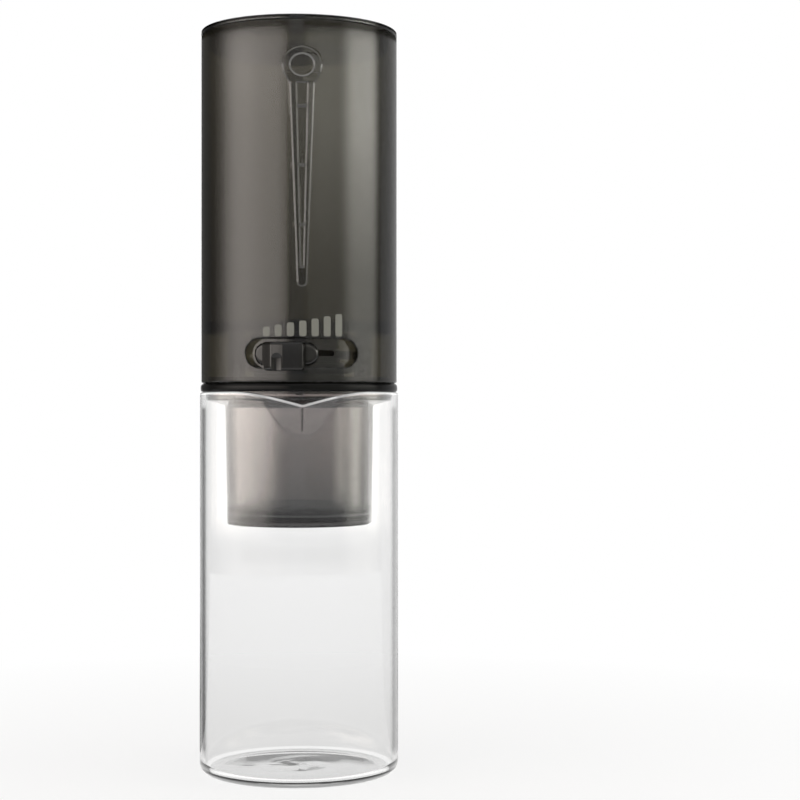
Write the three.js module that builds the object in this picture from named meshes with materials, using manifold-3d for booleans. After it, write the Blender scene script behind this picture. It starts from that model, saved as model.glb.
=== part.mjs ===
// A slow drip cold brew coffee maker, in millimetres with +Z up and the origin under the carafe's centre.
// Cold water stands in the tank. A slider on the tank's front sets how fast it drips through a pinched
// silicone tube onto the coffee in the cup, and the brew falls through a filter into the glass carafe.
// The slider, the scale and the carafe's pouring lip face -Y.
import * as THREE from "three";
import { mergeVertices, toCreasedNormals } from "three/addons/utils/BufferGeometryUtils.js";
import Module from "manifold-3d";

const wasm = await Module();
wasm.setup();

const degree = Math.PI / 180;
const rightAngle = 90 * degree;
const halfTurn = 2 * rightAngle;
const fullTurn = 2 * halfTurn;

// Clearances
const seatGap = 0.05; // between faces that rest on each other
const fitGap = 0.3; // between pieces that slide past or clip into each other
const looseGap = 0.5; // round pieces that are dropped in by hand
const overrun = 1; // how far a cut or a joined form runs past the face it crosses

// Facets
const shellSides = 48;
const innerSides = 36;
const smallSides = 12;
const arcSteps = 5; // doubled by each arc of a shape
const cornerSteps = 2;
const creaseAngle = 30 * degree; // sharper edges are drawn sharp

// Glass carafe
const carafeRadius = 39;
const carafeHeight = 149;
const glassWall = 2;
const glassFloor = 2.5;
const footRound = 4;
const glassFloorRound = 3.2;
const rimRound = 0.7;
const lipHalfAngle = 23.4 * degree;
const lipReach = 5;
const lipDip = 4;
const lipHeight = 15;
const lipLevelShares = [0, 0.36, 0.68, 0.9];

// Silicone seal between the glass rim, the cup's flange and the tank
const sealInset = 0.3;
const sealLip = 0.8;
const sealOverlap = 1.7;
const sealRound = 0.5;

// Coffee cup, measured down from the glass rim
const cupDepth = 51.7;
const cupTopRadius = 29.1;
const cupTaper = 0.8;
const cupWall = 1.6;
const collarGap = 0.4;
const collarDepth = 3.6;
const shoulderDepth = 2.9;
const shoulderRound = 0.5;
const flangeStep = 0.6;
const flangeThickness = 1.2;
const plateLedge = 3.5;
const plateLedgeDepth = 4;
const plateLedgeRise = 2;
const cupFloor = 2.2;
const cupFloorLedge = 3.2;
const cupFootRound = 0.6;

// Perforated plate that spreads the drips over the coffee
const plateThickness = 1.2;
const plateDish = 1.8;
const plateHoleRadius = 0.9;
const plateHoleRings = 3;
const plateHoleSpacing = 7.2;
const plateHoleSides = 5;

// Filter in the foot of the cup
const screenThickness = 0.5;
const screenHoleRadius = 1.6;
const screenHoleRings = 3;
const screenHoleSpacing = 6.6;
const screenHoleSides = 4;
const paperThickness = 0.3;
const paperTrim = 0.4;
const gasketHeight = 5;
const gasketWall = 1.9;
const gasketBead = 1.2;
const gasketBeadStep = 0.4;
const holesPerRingStep = 6;

// Water tank
const tankInset = 0.5;
const tankHeight = 136;
const tankWall = 2;
const tankDraft = 0.8; // how much thicker the wall is at the floor, so that the moulding draws
const tankFootChamfer = 0.4;
const skirtHeight = 19.7;
const tankFloor = 2.2;
const tankFloorFall = 0.6;
const tankFloorRound = 1.2;
const outletBore = 1.3;
const nippleRadius = 2.1;
const nippleLength = 3.5;

// Raised outline on the tank's front: a ring above a slender tapering scale
const reliefRise = 0.4;
const reliefRingHeight = 118.4;
const reliefRingRadius = 7.3;
const reliefRingBore = 4.6;
const reliefTop = 112.5;
const reliefBottom = 36.5;
const reliefTopHalfWidth = 4.8;
const reliefBottomHalfWidth = 2.05;
const reliefTaperPower = 1.5;
const reliefSlotTop = 111.4;
const reliefSlotBottom = 42.2;
const reliefSlotTopHalfWidth = 2.3;
const reliefSlotBottomHalfWidth = 0.75;
const reliefMark = 0.8;
const reliefMarkHeights = [103.5, 81.5, 59];
const reliefSteps = 6;

// Drip regulator: slider, slot and levels
const sliderHeight = 11; // above the tank's foot
const levelCount = 7;
const levelPitch = 4.8 * degree;
const restLevel = 2;
const pocketLength = 42.4;
const pocketHeight = 11.2;
const pocketDepth = 3;
const pocketWall = 1.6;
const slotHeight = 2.2;
const slotMargin = 0.8 * degree;
const knobLength = 24.4;
const knobHeight = 9.8;
const knobBase = 1.4;
const gripRise = 4.1;
const gripAbove = 4.5;
const gripBelow = 7;
const gripChamfer = 0.8;
// Along the knob, as shares of its length, and outward, as shares of the grip's rise
const gripOutlineShares = [
  [-0.36, 0],
  [-0.21, 0.93],
  [-0.185, 1],
  [-0.16, 0.95],
  [-0.115, 0.76],
  [-0.06, 0.8],
  [-0.02, 0.94],
  [0.14, 1],
  [0.28, 0.92],
  [0.305, 0.78],
  [0.325, 0],
];

// Cam ring that the slider turns
const camRadius = 16;
const camHeight = 5;
const camBelowSlider = 2.9;
const camBore = 12;
const camLift = 3.98; // millimetres of plunger travel for each radian
const camEndAngle = 14 * degree;
const armThickness = 1.5;
const armHalfWidth = 6;
const tabWidth = 6.1;
const tabReach = 2.1; // out past the pocket's floor
const notchRadius = 20.5;
const notchDepth = 0.7;
const notchAngle = 90 * degree;
const notchPlateThickness = 3;
const notchPlateMargin = 2 * degree;

// Pinched silicone drip tube, its plunger and its nozzle
const tubeBore = 2.4;
const tubeWall = 1.2;
const tubeSlit = 0.15;
const tubeSpread = 1.6;
const tubeRamp = 4.1;
const tubeSides = 16;
const plungerHeight = 3.2;
const plungerHead = 2;
const plungerHeadHalfWidth = 5.4;
const plungerHalfWidth = 1.5;
const plungerGap = 0.45; // room for the last half level of travel
const clampWall = 0.6;
const clampHeight = 2;
const nozzleBore = 0.7;
const nozzleBarbLength = 3.9;
const nozzleFlangeRadius = 5.2;
const nozzleFlange = 1;
const nozzleTipLength = 3.5;
const nozzleTipRootRadius = 3;
const nozzleTipRadius = 1.4;

// Valve cover that closes the tank's skirt
const coverPlate = 2;
const coverLift = 0.2;
const coverHole = 4;
const spigotDepth = 4;
const spigotWall = 1.4;
const bearingWall = 1.4;
const bearingShelf = 2.4;
const bearingLap = 2.8;
const bearingMargin = 3 * degree;
const anvilThickness = 3.3;
const anvilPost = 2.6;
const guideStart = 6.2;
const guideLength = 3.3;
const guideWall = 2;
const holdDownWidth = 2;
const bossRadius = 3;
const bossHole = 1.5;
const bossInset = 8.5; // from the tank's bore to the circle of bosses
const bossAngles = [60 * degree, 180 * degree, 300 * degree];
const screwRadius = 1.2;
const screwHeadRadius = 2.4;
const screwHead = 1.4;
const screwLength = 7;
const retainerInset = 2;
const retainerWall = 1.5;

// Leaf spring that clicks into the cam ring's notches
const leafThickness = 0.5;
const leafHeight = 3;
const leafStandoff = 3.2; // from the notched rim to the post's line
const leafPostLength = 4;
const leafPostWall = 1.2;
const leafReach = 9; // from the nose to the post
const leafTail = 3;

// Lid
const lidThickness = 2;
const lidChamfer = 0.5;
const plugDepth = 5;
const plugWall = 1.6;
const ventRadius = 0.8;
const ventAngle = 13 * degree;

// Sizes worked out from those above
const glassBore = carafeRadius - glassWall;
const collarRadius = glassBore - collarGap;
const collarBore = collarRadius - cupWall;
const flangeRadius = collarRadius + flangeStep;
const flangeBottom = sealLip + fitGap;
const flangeTop = flangeBottom + flangeThickness;
const sealHeight = flangeTop + fitGap + sealLip;
const sealRadius = carafeRadius - sealInset;
const cupBoreTop = cupTopRadius - cupWall;
const cupBoreBottom = cupBoreTop - cupTaper;
const cupFloorTop = cupFloor - cupDepth;
const tankRadius = carafeRadius - tankInset;
const tankBore = tankRadius - tankWall;
const tankFloorTop = skirtHeight + tankFloor;
const pocketFloorRadius = tankRadius - pocketDepth;
const slotRadius = pocketFloorRadius - pocketWall;
const travelHalfAngle = ((levelCount - 1) / 2) * levelPitch;
const restAngle = (restLevel - 1) * levelPitch - travelHalfAngle;
const slotHalfAngle = travelHalfAngle + Math.asin(tabWidth / 2 / slotRadius) + slotMargin;
const camBottom = sliderHeight - camBelowSlider;
const plungerBottom = sliderHeight - plungerHeight / 2 - fitGap;
const plungerTop = plungerBottom + plungerHeight;
const tubeRadius = tubeBore + tubeWall;
const waistHalf = tubeWall + tubeSlit;
const waistBottom = plungerBottom - fitGap;
const waistTop = plungerTop + fitGap;
const coverTop = coverLift + coverPlate;
const coverRadius = tankBore - looseGap;
const bossCircle = tankBore - bossInset;

// Basic forms

// A closed geometry as a solid that can be joined and cut.
function solidOf(geometry) {
  const bare = geometry.clone();
  bare.deleteAttribute("normal");
  bare.deleteAttribute("uv");
  const merged = mergeVertices(bare);
  const vertProperties = merged.getAttribute("position").array;
  const triVerts = new Uint32Array(merged.index.array);
  return new wasm.Manifold(new wasm.Mesh({ numProp: 3, vertProperties, triVerts }));
}

// A solid as a geometry to draw.
function geometryOf(solid) {
  const mesh = solid.getMesh();
  const geometry = new THREE.BufferGeometry();
  geometry.setAttribute("position", new THREE.BufferAttribute(new Float32Array(mesh.vertProperties), 3));
  geometry.setIndex(new THREE.BufferAttribute(new Uint32Array(mesh.triVerts), 1));
  return geometry;
}

// A profile of [radius, height] points turned round the Z axis, starting at the front.
function turned(profile, sides = shellSides) {
  const points = profile.map(([radius, height]) => new THREE.Vector2(radius, height));
  return new THREE.LatheGeometry(points, sides).rotateX(rightAngle);
}

// The same for a profile that goes round a bore and comes back to its start.
function turnedRing(profile, sides = shellSides) {
  return turned([...profile, profile[0]], sides);
}

// A plain ring between two radii and two heights.
function band(inner, outer, bottom, top, sides = shellSides) {
  const profile = [
    [inner, bottom],
    [outer, bottom],
    [outer, top],
    [inner, top],
  ];
  return solidOf(turnedRing(profile, sides));
}

// A quarter turn round a corner of a profile.
function corner(radius, height, round, startAngle, endAngle) {
  const points = [];
  for (let step = 0; step <= cornerSteps; step += 1) {
    const angle = startAngle + ((endAngle - startAngle) * step) / cornerSteps;
    points.push([radius + round * Math.cos(angle), height + round * Math.sin(angle)]);
  }
  return points;
}

// A shape in plan, raised from bottom to top.
function raised(shape, bottom, top, curveSegments = arcSteps) {
  const settings = { depth: top - bottom, bevelEnabled: false, curveSegments };
  return solidOf(new THREE.ExtrudeGeometry(shape, settings).translate(0, 0, bottom));
}

// A shape seen from the front, run out of the axis through the front wall.
function throughFront(shape, curveSegments = arcSteps) {
  const settings = { depth: carafeRadius + gripRise, bevelEnabled: false, curveSegments };
  return solidOf(new THREE.ExtrudeGeometry(shape, settings).rotateX(rightAngle));
}

// A block between two corners.
function block(left, right, front, back, bottom, top) {
  const box = new THREE.BoxGeometry(right - left, back - front, top - bottom);
  return solidOf(box.translate((left + right) / 2, (front + back) / 2, (bottom + top) / 2));
}

// A round bar standing on the Z direction at a place in plan.
function post(x, y, radius, bottom, top, sides = smallSides) {
  const bar = new THREE.CylinderGeometry(radius, radius, top - bottom, sides).rotateX(rightAngle);
  return solidOf(bar.translate(x, y, (bottom + top) / 2));
}

// The place in plan at a radius and an angle from the front, positive to the right.
function polar(radius, angle) {
  return [radius * Math.sin(angle), -radius * Math.cos(angle)];
}

function polygon(points) {
  return new THREE.Shape(points.map(([x, y]) => new THREE.Vector2(x, y)));
}

function disc(x, y, radius) {
  return new THREE.Shape().absarc(x, y, radius, 0, fullTurn);
}

// Two half circles joined by straight lines.
function obround(length, height, centreHeight) {
  const round = height / 2;
  const centre = length / 2 - round;
  const shape = new THREE.Shape();
  shape.absarc(centre, centreHeight, round, -rightAngle, rightAngle);
  shape.absarc(-centre, centreHeight, round, rightAngle, halfTurn + rightAngle);
  return shape;
}

// A piece of a ring in plan between two angles from the front.
function sector(inner, outer, startAngle, endAngle) {
  const steps = Math.ceil((endAngle - startAngle) / levelPitch);
  const along = (radius, step) => polar(radius, startAngle + ((endAngle - startAngle) * step) / steps);
  const points = [];
  for (let step = 0; step <= steps; step += 1) points.push(along(outer, step));
  for (let step = steps; step >= 0; step -= 1) points.push(along(inner, step));
  return polygon(points);
}

function joined(...solids) {
  return solids.reduce((whole, solid) => whole.add(solid));
}

// Glass carafe with its drawn pouring lip

// How strongly the lip is drawn at an angle from the front and a height: 1 at its peak, 0 off the lip.
function lipStrength(angle, height) {
  const across = Math.abs(angle) / lipHalfAngle;
  if (across >= 1) return 0;
  const reachDown = lipHeight * (1 - across * across);
  const up = Math.max(0, 1 - (carafeHeight - height) / reachDown);
  return (1 - across) * up * Math.sqrt(up);
}

function carafeGeometry() {
  const lipLevels = lipLevelShares.map((share) => carafeHeight - lipHeight * (1 - share));
  const rimEdge = carafeHeight - rimRound;
  const profile = [
    [0, 0],
    ...corner(carafeRadius - footRound, footRound, footRound, -rightAngle, 0),
    ...lipLevels.map((height) => [carafeRadius, height]),
    ...corner(carafeRadius - rimRound, rimEdge, rimRound, 0, rightAngle),
    ...corner(glassBore + rimRound, rimEdge, rimRound, rightAngle, halfTurn),
    ...lipLevels.reverse().map((height) => [glassBore, height]),
    ...corner(
      glassBore - glassFloorRound,
      glassFloor + glassFloorRound,
      glassFloorRound,
      0,
      -rightAngle,
    ),
    [0, glassFloor],
  ];
  const geometry = turned(profile);
  const position = geometry.getAttribute("position");
  for (let i = 0; i < position.count; i += 1) {
    const x = position.getX(i);
    const y = position.getY(i);
    const height = position.getZ(i);
    const strength = lipStrength(Math.atan2(x, -y), height);
    const radius = Math.hypot(x, y);
    const stretch = radius > 0 ? (radius + lipReach * strength) / radius : 1;
    position.setXYZ(i, x * stretch, y * stretch, height - lipDip * strength);
  }
  return geometry;
}

// Seal ring, a C section that holds the cup's flange

function sealGeometry() {
  const lowerBore = collarRadius + fitGap;
  const webBore = flangeRadius + fitGap;
  const upperBore = flangeRadius - sealOverlap;
  return turnedRing([
    [lowerBore, seatGap],
    [sealRadius - sealRound, seatGap],
    [sealRadius, seatGap + sealRound],
    [sealRadius, sealHeight - sealRound],
    [sealRadius - sealRound, sealHeight],
    [upperBore, sealHeight],
    [upperBore, sealHeight - sealLip],
    [webBore, sealHeight - sealLip],
    [webBore, sealLip],
    [lowerBore, sealLip],
  ]);
}

// Coffee cup, hung in the glass mouth by its flange

function cupGeometry() {
  const shoulder = -collarDepth - shoulderDepth;
  const footRadius = cupTopRadius - cupTaper;
  const ledgeRadius = cupBoreTop + plateLedge;
  return turnedRing([
    [cupBoreBottom - cupFloorLedge, -cupDepth],
    [footRadius - cupFootRound, -cupDepth],
    [footRadius, -cupDepth + cupFootRound],
    [cupTopRadius, shoulder - shoulderRound],
    [cupTopRadius + shoulderRound, shoulder],
    [collarRadius - shoulderRound, -collarDepth],
    [collarRadius, -collarDepth + shoulderRound],
    [collarRadius, flangeBottom],
    [flangeRadius, flangeBottom],
    [flangeRadius, flangeTop],
    [collarBore, flangeTop],
    [collarBore, -plateLedgeDepth + plateLedgeRise],
    [ledgeRadius, -plateLedgeDepth],
    [cupBoreTop, -plateLedgeDepth],
    [cupBoreBottom, cupFloorTop],
    [cupBoreBottom - cupFloorLedge, cupFloorTop],
  ]);
}

// A turned plate with rings of small holes through it.
function perforated(geometry, rings, spacing, holeRadius, sides, bottom, top) {
  let holes = null;
  for (let ring = 1; ring <= rings; ring += 1) {
    const count = ring * holesPerRingStep;
    for (let hole = 0; hole < count; hole += 1) {
      const [x, y] = polar(ring * spacing, (fullTurn * hole) / count);
      const cut = post(x, y, holeRadius, bottom - overrun, top + overrun, sides);
      holes = holes ? holes.add(cut) : cut;
    }
  }
  return geometryOf(solidOf(geometry).subtract(holes));
}

function dispersionPlateGeometry() {
  const seat = seatGap - plateLedgeDepth;
  const dishRadius = cupBoreTop - looseGap;
  const flange = cupBoreTop + plateLedge - looseGap;
  const bottom = seat - plateDish;
  const plate = turned([
    [0, bottom],
    [dishRadius - plateThickness, bottom],
    [dishRadius, seat],
    [flange, seat],
    [flange, seat + plateThickness],
    [dishRadius - plateThickness, seat + plateThickness],
    [dishRadius - 2 * plateThickness, bottom + plateThickness],
    [0, bottom + plateThickness],
  ], innerSides);
  return perforated(
    plate,
    plateHoleRings,
    plateHoleSpacing,
    plateHoleRadius,
    plateHoleSides,
    bottom,
    bottom + plateThickness,
  );
}

function filterScreenGeometry() {
  const bottom = cupFloorTop + seatGap;
  const top = bottom + screenThickness;
  const radius = cupBoreBottom - looseGap;
  const plate = turned([
    [0, bottom],
    [radius, bottom],
    [radius, top],
    [0, top],
  ], innerSides);
  return perforated(
    plate,
    screenHoleRings,
    screenHoleSpacing,
    screenHoleRadius,
    screenHoleSides,
    bottom,
    top,
  );
}

const paperBottom = cupFloorTop + seatGap + screenThickness + seatGap;
const paperTop = paperBottom + paperThickness;

function filterPaperGeometry() {
  const radius = cupBoreBottom - looseGap - paperTrim;
  return turned([
    [0, paperBottom],
    [radius, paperBottom],
    [radius, paperTop],
    [0, paperTop],
  ], innerSides);
}

function filterGasketGeometry() {
  const bottom = paperTop + seatGap;
  const top = bottom + gasketHeight;
  const outer = cupBoreBottom - fitGap;
  const bore = outer - gasketWall;
  return turnedRing([
    [bore, bottom],
    [outer, bottom],
    [outer, bottom + gasketBead],
    [outer - gasketBeadStep, bottom + gasketBead],
    [outer - gasketBeadStep, top - gasketBead],
    [outer, top - gasketBead],
    [outer, top],
    [bore, top],
  ], innerSides);
}

// Water tank

// A strip seen from the front that widens with height from one half width to another.
function taperedStrip(bottom, top, bottomHalfWidth, topHalfWidth, power) {
  const right = [];
  for (let step = 0; step <= reliefSteps; step += 1) {
    const share = step / reliefSteps;
    const halfWidth = bottomHalfWidth + (topHalfWidth - bottomHalfWidth) * share ** power;
    right.push([halfWidth, bottom + (top - bottom) * share]);
  }
  const left = right.map(([x, height]) => [-x, height]).reverse();
  return polygon([...right, ...left]);
}

function reliefSolid() {
  const border = joined(
    throughFront(disc(0, reliefRingHeight, reliefRingRadius), smallSides),
    throughFront(disc(0, reliefBottom, reliefBottomHalfWidth)),
    throughFront(
      taperedStrip(
        reliefBottom,
        reliefTop,
        reliefBottomHalfWidth,
        reliefTopHalfWidth,
        reliefTaperPower,
      ),
    ),
  );
  const slot = throughFront(
    taperedStrip(
      reliefSlotBottom,
      reliefSlotTop,
      reliefSlotBottomHalfWidth,
      reliefSlotTopHalfWidth,
      reliefTaperPower,
    ),
  );
  const bore = throughFront(disc(0, reliefRingHeight, reliefRingBore), smallSides);
  const marks = reliefMarkHeights.map((height) =>
    throughFront(
      polygon([
        [-reliefTopHalfWidth / 2, height - reliefMark / 2],
        [reliefTopHalfWidth / 2, height - reliefMark / 2],
        [reliefTopHalfWidth / 2, height + reliefMark / 2],
        [-reliefTopHalfWidth / 2, height + reliefMark / 2],
      ]),
    ),
  );
  const outline = joined(border.subtract(slot).subtract(bore), ...marks);
  const skin = band(
    tankRadius - tankWall / 2,
    tankRadius + reliefRise,
    reliefBottom - 2 * reliefBottomHalfWidth,
    reliefRingHeight + 2 * reliefRingRadius,
  );
  return outline.intersect(skin);
}

// The tank's shell: skirt, sloping floor with its outlet nipple, a ribbed retainer and the wall.
function tankShell() {
  const retainerBottom = camBottom + camHeight + fitGap;
  const retainerRadius = camRadius - retainerInset + retainerWall;
  return solidOf(
    turnedRing([
      [outletBore, skirtHeight - nippleLength],
      [nippleRadius, skirtHeight - nippleLength],
      [nippleRadius, skirtHeight],
      [camRadius - retainerInset, skirtHeight],
      [camRadius - retainerInset, retainerBottom],
      [retainerRadius, retainerBottom],
      [retainerRadius, skirtHeight],
      [tankBore, skirtHeight],
      [tankBore, 0],
      [tankRadius - tankFootChamfer, 0],
      [tankRadius, tankFootChamfer],
      [tankRadius, tankHeight],
      [tankBore, tankHeight],
      [tankBore - tankDraft, tankFloorTop + tankFloorRound],
      [tankBore - tankDraft - tankFloorRound, tankFloorTop],
      [outletBore, tankFloorTop - tankFloorFall],
    ]),
  );
}

function tankGeometry() {
  const pocketShape = obround(pocketLength, pocketHeight, sliderHeight);
  const linerShape = obround(
    pocketLength + 2 * pocketWall,
    pocketHeight + 2 * pocketWall,
    sliderHeight,
  );
  const linerBottom = sliderHeight - pocketHeight;
  const linerTop = sliderHeight + pocketHeight;
  const liner = throughFront(linerShape).intersect(
    band(slotRadius, tankBore + tankWall / 2, linerBottom, linerTop),
  );
  const pocket = throughFront(pocketShape).intersect(
    band(pocketFloorRadius, tankRadius + overrun, linerBottom, linerTop),
  );
  const slot = raised(
    sector(slotRadius - overrun, pocketFloorRadius + overrun, -slotHalfAngle, slotHalfAngle),
    sliderHeight - slotHeight / 2,
    sliderHeight + slotHeight / 2,
  );
  const bosses = bossAngles.map((angle) => {
    const [x, y] = polar(bossCircle, angle);
    return post(x, y, bossRadius, coverTop + fitGap, skirtHeight + tankFloor / 2);
  });
  const bossHoles = bossAngles.map((angle) => {
    const [x, y] = polar(bossCircle, angle);
    return post(x, y, bossHole, coverTop - overrun, screwLength + overrun);
  });
  const holdDown = block(
    -holdDownWidth / 2,
    holdDownWidth / 2,
    guideStart,
    guideStart + guideLength,
    plungerTop + fitGap,
    skirtHeight + tankFloor / 2,
  );
  const body = joined(tankShell(), liner, reliefSolid(), holdDown, ...bosses);
  return geometryOf(body.subtract(joined(pocket, slot)).subtract(joined(...bossHoles)));
}

// Valve cover with the seat of the cam ring, the tube's anvil, the plunger's guide and the spring's post

function coverPlateSolid() {
  const spigotRadius = collarBore - collarGap;
  const shelfTop = camBottom - fitGap;
  const wallBore = camRadius + fitGap;
  return solidOf(
    turnedRing([
      [coverHole, coverLift],
      [spigotRadius - spigotWall, coverLift],
      [spigotRadius - spigotWall, -spigotDepth],
      [spigotRadius, -spigotDepth],
      [spigotRadius, coverLift],
      [coverRadius, coverLift],
      [coverRadius, coverTop],
      [wallBore + bearingWall, coverTop],
      [wallBore + bearingWall, shelfTop + bearingLap],
      [wallBore, shelfTop + bearingLap],
      [wallBore, shelfTop],
      [wallBore - bearingShelf, shelfTop],
      [wallBore - bearingShelf, coverTop],
      [coverHole, coverTop],
    ], innerSides),
  );
}

function guideSolid() {
  const half = plungerHalfWidth + fitGap + guideWall;
  const top = plungerTop - fitGap;
  const tower = block(-half, half, guideStart, guideStart + guideLength, coverTop - coverPlate / 2, top);
  const channel = block(
    -plungerHalfWidth - fitGap,
    plungerHalfWidth + fitGap,
    guideStart - overrun,
    guideStart + guideLength + overrun,
    plungerBottom - fitGap,
    top + overrun,
  );
  return tower.subtract(channel);
}

function anvilSolid() {
  const face = -waistHalf - fitGap;
  const front = face - anvilThickness - anvilPost;
  const half = plungerHeadHalfWidth;
  const head = block(-half, half, front, face, waistBottom, waistTop);
  const stand = block(-half, half, front, front + anvilPost, coverTop - coverPlate / 2, waistTop);
  return head.add(stand);
}

// The leaf's line in plan, radial distance first and then along the rim, nose to tail.
const leafLine = [
  [notchRadius + fitGap + leafThickness + leafStandoff / 2, -leafTail],
  [notchRadius + fitGap + leafThickness, -leafThickness],
  [notchRadius + fitGap + leafThickness, leafThickness],
  [notchRadius + fitGap + leafThickness + leafStandoff, leafReach / 2],
  [notchRadius + fitGap + leafThickness + leafStandoff, leafReach + leafPostLength],
];

function springPostSolid() {
  const line = notchRadius + fitGap + leafThickness + leafStandoff;
  const halfSlot = leafThickness / 2 + fitGap;
  const top = sliderHeight + leafHeight / 2;
  const tower = block(
    line - halfSlot - leafPostWall,
    line + halfSlot + leafPostWall,
    leafReach,
    leafReach + leafPostLength,
    coverTop - coverPlate / 2,
    top,
  );
  const slot = block(
    line - halfSlot,
    line + halfSlot,
    leafReach - overrun,
    leafReach + leafPostLength + overrun,
    top - leafHeight - fitGap,
    top + overrun,
  );
  return tower.subtract(slot);
}

function valveCoverGeometry() {
  const armAngle = Math.asin(armHalfWidth / camRadius);
  const openFrom = -travelHalfAngle - armAngle - bearingMargin;
  const openTo = notchAngle + 2 * travelHalfAngle + notchPlateMargin + bearingMargin;
  const opening = raised(
    sector(camRadius, camRadius + fitGap + bearingWall + overrun, openFrom, openTo),
    camBottom - fitGap,
    camBottom + bearingLap + overrun,
  );
  const screwHoles = bossAngles.map((angle) => {
    const [x, y] = polar(bossCircle, angle);
    return post(x, y, bossHole, coverLift - overrun, coverTop + overrun);
  });
  const plate = coverPlateSolid().subtract(joined(opening, ...screwHoles));
  return geometryOf(joined(plate, guideSolid(), anvilSolid(), springPostSolid()));
}

// A pan head screw, pointing up, with the face under its head at the cover.
function screwGeometry() {
  const headTop = coverLift - fitGap;
  const headBottom = headTop - screwHead;
  return turned(
    [
      [0, headBottom],
      [screwRadius, headBottom],
      [screwHeadRadius, headTop - screwHead / 2],
      [screwHeadRadius, headTop],
      [screwRadius, headTop],
      [screwRadius, screwLength - screwRadius],
      [0, screwLength],
    ],
    smallSides,
  );
}

// Drip regulator

// How far the cam's bore lies from the axis at an angle in plan, measured from +Y against the clock.
function camBoreRadius(angle) {
  const start = -2 * travelHalfAngle - camEndAngle;
  const along = (((angle - start) % fullTurn) + fullTurn) % fullTurn;
  const working = camEndAngle - start;
  const startRadius = camBore - camLift * start;
  if (along <= working) return startRadius - camLift * along;
  return startRadius - camLift * working * (1 - (along - working) / (fullTurn - working));
}

function camRingSolid() {
  const outline = disc(0, 0, camRadius);
  const bore = [];
  for (let step = 0; step < innerSides; step += 1) {
    const angle = (fullTurn * step) / innerSides;
    // The ring turns back from its rest place, so the cam is drawn ahead of it by as much.
    const radius = camBoreRadius(angle - rightAngle + restAngle);
    bore.push([radius * Math.cos(angle), radius * Math.sin(angle)]);
  }
  outline.holes.push(new THREE.Path(bore.map(([x, y]) => new THREE.Vector2(x, y))));
  return raised(outline, camBottom, camBottom + camHeight, innerSides / 2);
}

function notchPlateSolid() {
  const half = travelHalfAngle + levelPitch / 2 + notchPlateMargin;
  const inner = camRadius - retainerInset / 2;
  const outer = [polar(notchRadius, notchAngle - half)];
  for (let level = 0; level < levelCount; level += 1) {
    const centre = notchAngle - travelHalfAngle + level * levelPitch;
    outer.push(polar(notchRadius, centre - levelPitch / 2));
    outer.push(polar(notchRadius - notchDepth, centre));
  }
  outer.push(polar(notchRadius, notchAngle + travelHalfAngle + levelPitch / 2));
  outer.push(polar(notchRadius, notchAngle + half));
  outer.push(polar(inner, notchAngle + half));
  outer.push(polar(inner, notchAngle));
  outer.push(polar(inner, notchAngle - half));
  const bottom = sliderHeight - notchPlateThickness / 2;
  return raised(polygon(outer), bottom, bottom + notchPlateThickness);
}

function armSolid() {
  const root = camRadius - retainerInset;
  const tip = pocketFloorRadius + tabReach;
  const neck = slotRadius - 2 * pocketWall;
  const shape = polygon([
    [-armHalfWidth, -root],
    [-tabWidth / 2, -neck],
    [-tabWidth / 2, -tip],
    [tabWidth / 2, -tip],
    [tabWidth / 2, -neck],
    [armHalfWidth, -root],
  ]);
  return raised(shape, sliderHeight - armThickness / 2, sliderHeight + armThickness / 2);
}

function camRingGeometry() {
  return geometryOf(joined(camRingSolid(), notchPlateSolid(), armSolid()));
}

function plungerGeometry() {
  const headFace = waistHalf + plungerGap;
  const shoulder = headFace + plungerHead;
  const nose = camBore - fitGap - plungerHalfWidth;
  const shape = new THREE.Shape();
  shape.moveTo(-plungerHeadHalfWidth, headFace);
  shape.lineTo(plungerHeadHalfWidth, headFace);
  shape.lineTo(plungerHeadHalfWidth, shoulder);
  shape.lineTo(plungerHalfWidth, shoulder);
  shape.absarc(0, nose, plungerHalfWidth, 0, halfTurn);
  shape.lineTo(-plungerHalfWidth, shoulder);
  shape.lineTo(-plungerHeadHalfWidth, shoulder);
  return geometryOf(raised(shape, plungerBottom, plungerTop));
}

// The tube is round at both ends and pressed flat between the anvil and the plunger.
function dripTubeGeometry() {
  const bottom = coverLift + fitGap;
  const top = skirtHeight - fitGap;
  const levels = [
    bottom,
    waistBottom - tubeRamp,
    waistBottom - tubeRamp / 2,
    waistBottom,
    waistTop,
    waistTop + tubeRamp / 2,
    waistTop + tubeRamp,
    top,
  ];
  const outside = levels.map((height) => [tubeRadius, height]);
  const inside = levels.map((height) => [tubeBore, height]).reverse();
  const geometry = turnedRing([...outside, ...inside], tubeSides);
  const position = geometry.getAttribute("position");
  for (let i = 0; i < position.count; i += 1) {
    const height = position.getZ(i);
    const away = Math.max(waistBottom - height, height - waistTop, 0);
    const press = (1 + Math.cos(halfTurn * Math.min(away / tubeRamp, 1))) / 2;
    const radius = Math.hypot(position.getX(i), position.getY(i));
    const wide = (radius + tubeSpread * press) / radius;
    const thin = (radius - (tubeBore - tubeSlit) * press) / radius;
    position.setXYZ(i, position.getX(i) * wide, position.getY(i) * thin, height);
  }
  return geometry;
}

function tubeClampGeometry() {
  const top = skirtHeight - looseGap;
  return geometryOf(
    band(
      tubeRadius + fitGap,
      tubeRadius + fitGap + clampWall,
      top - clampHeight,
      top,
      tubeSides,
    ),
  );
}

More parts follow.
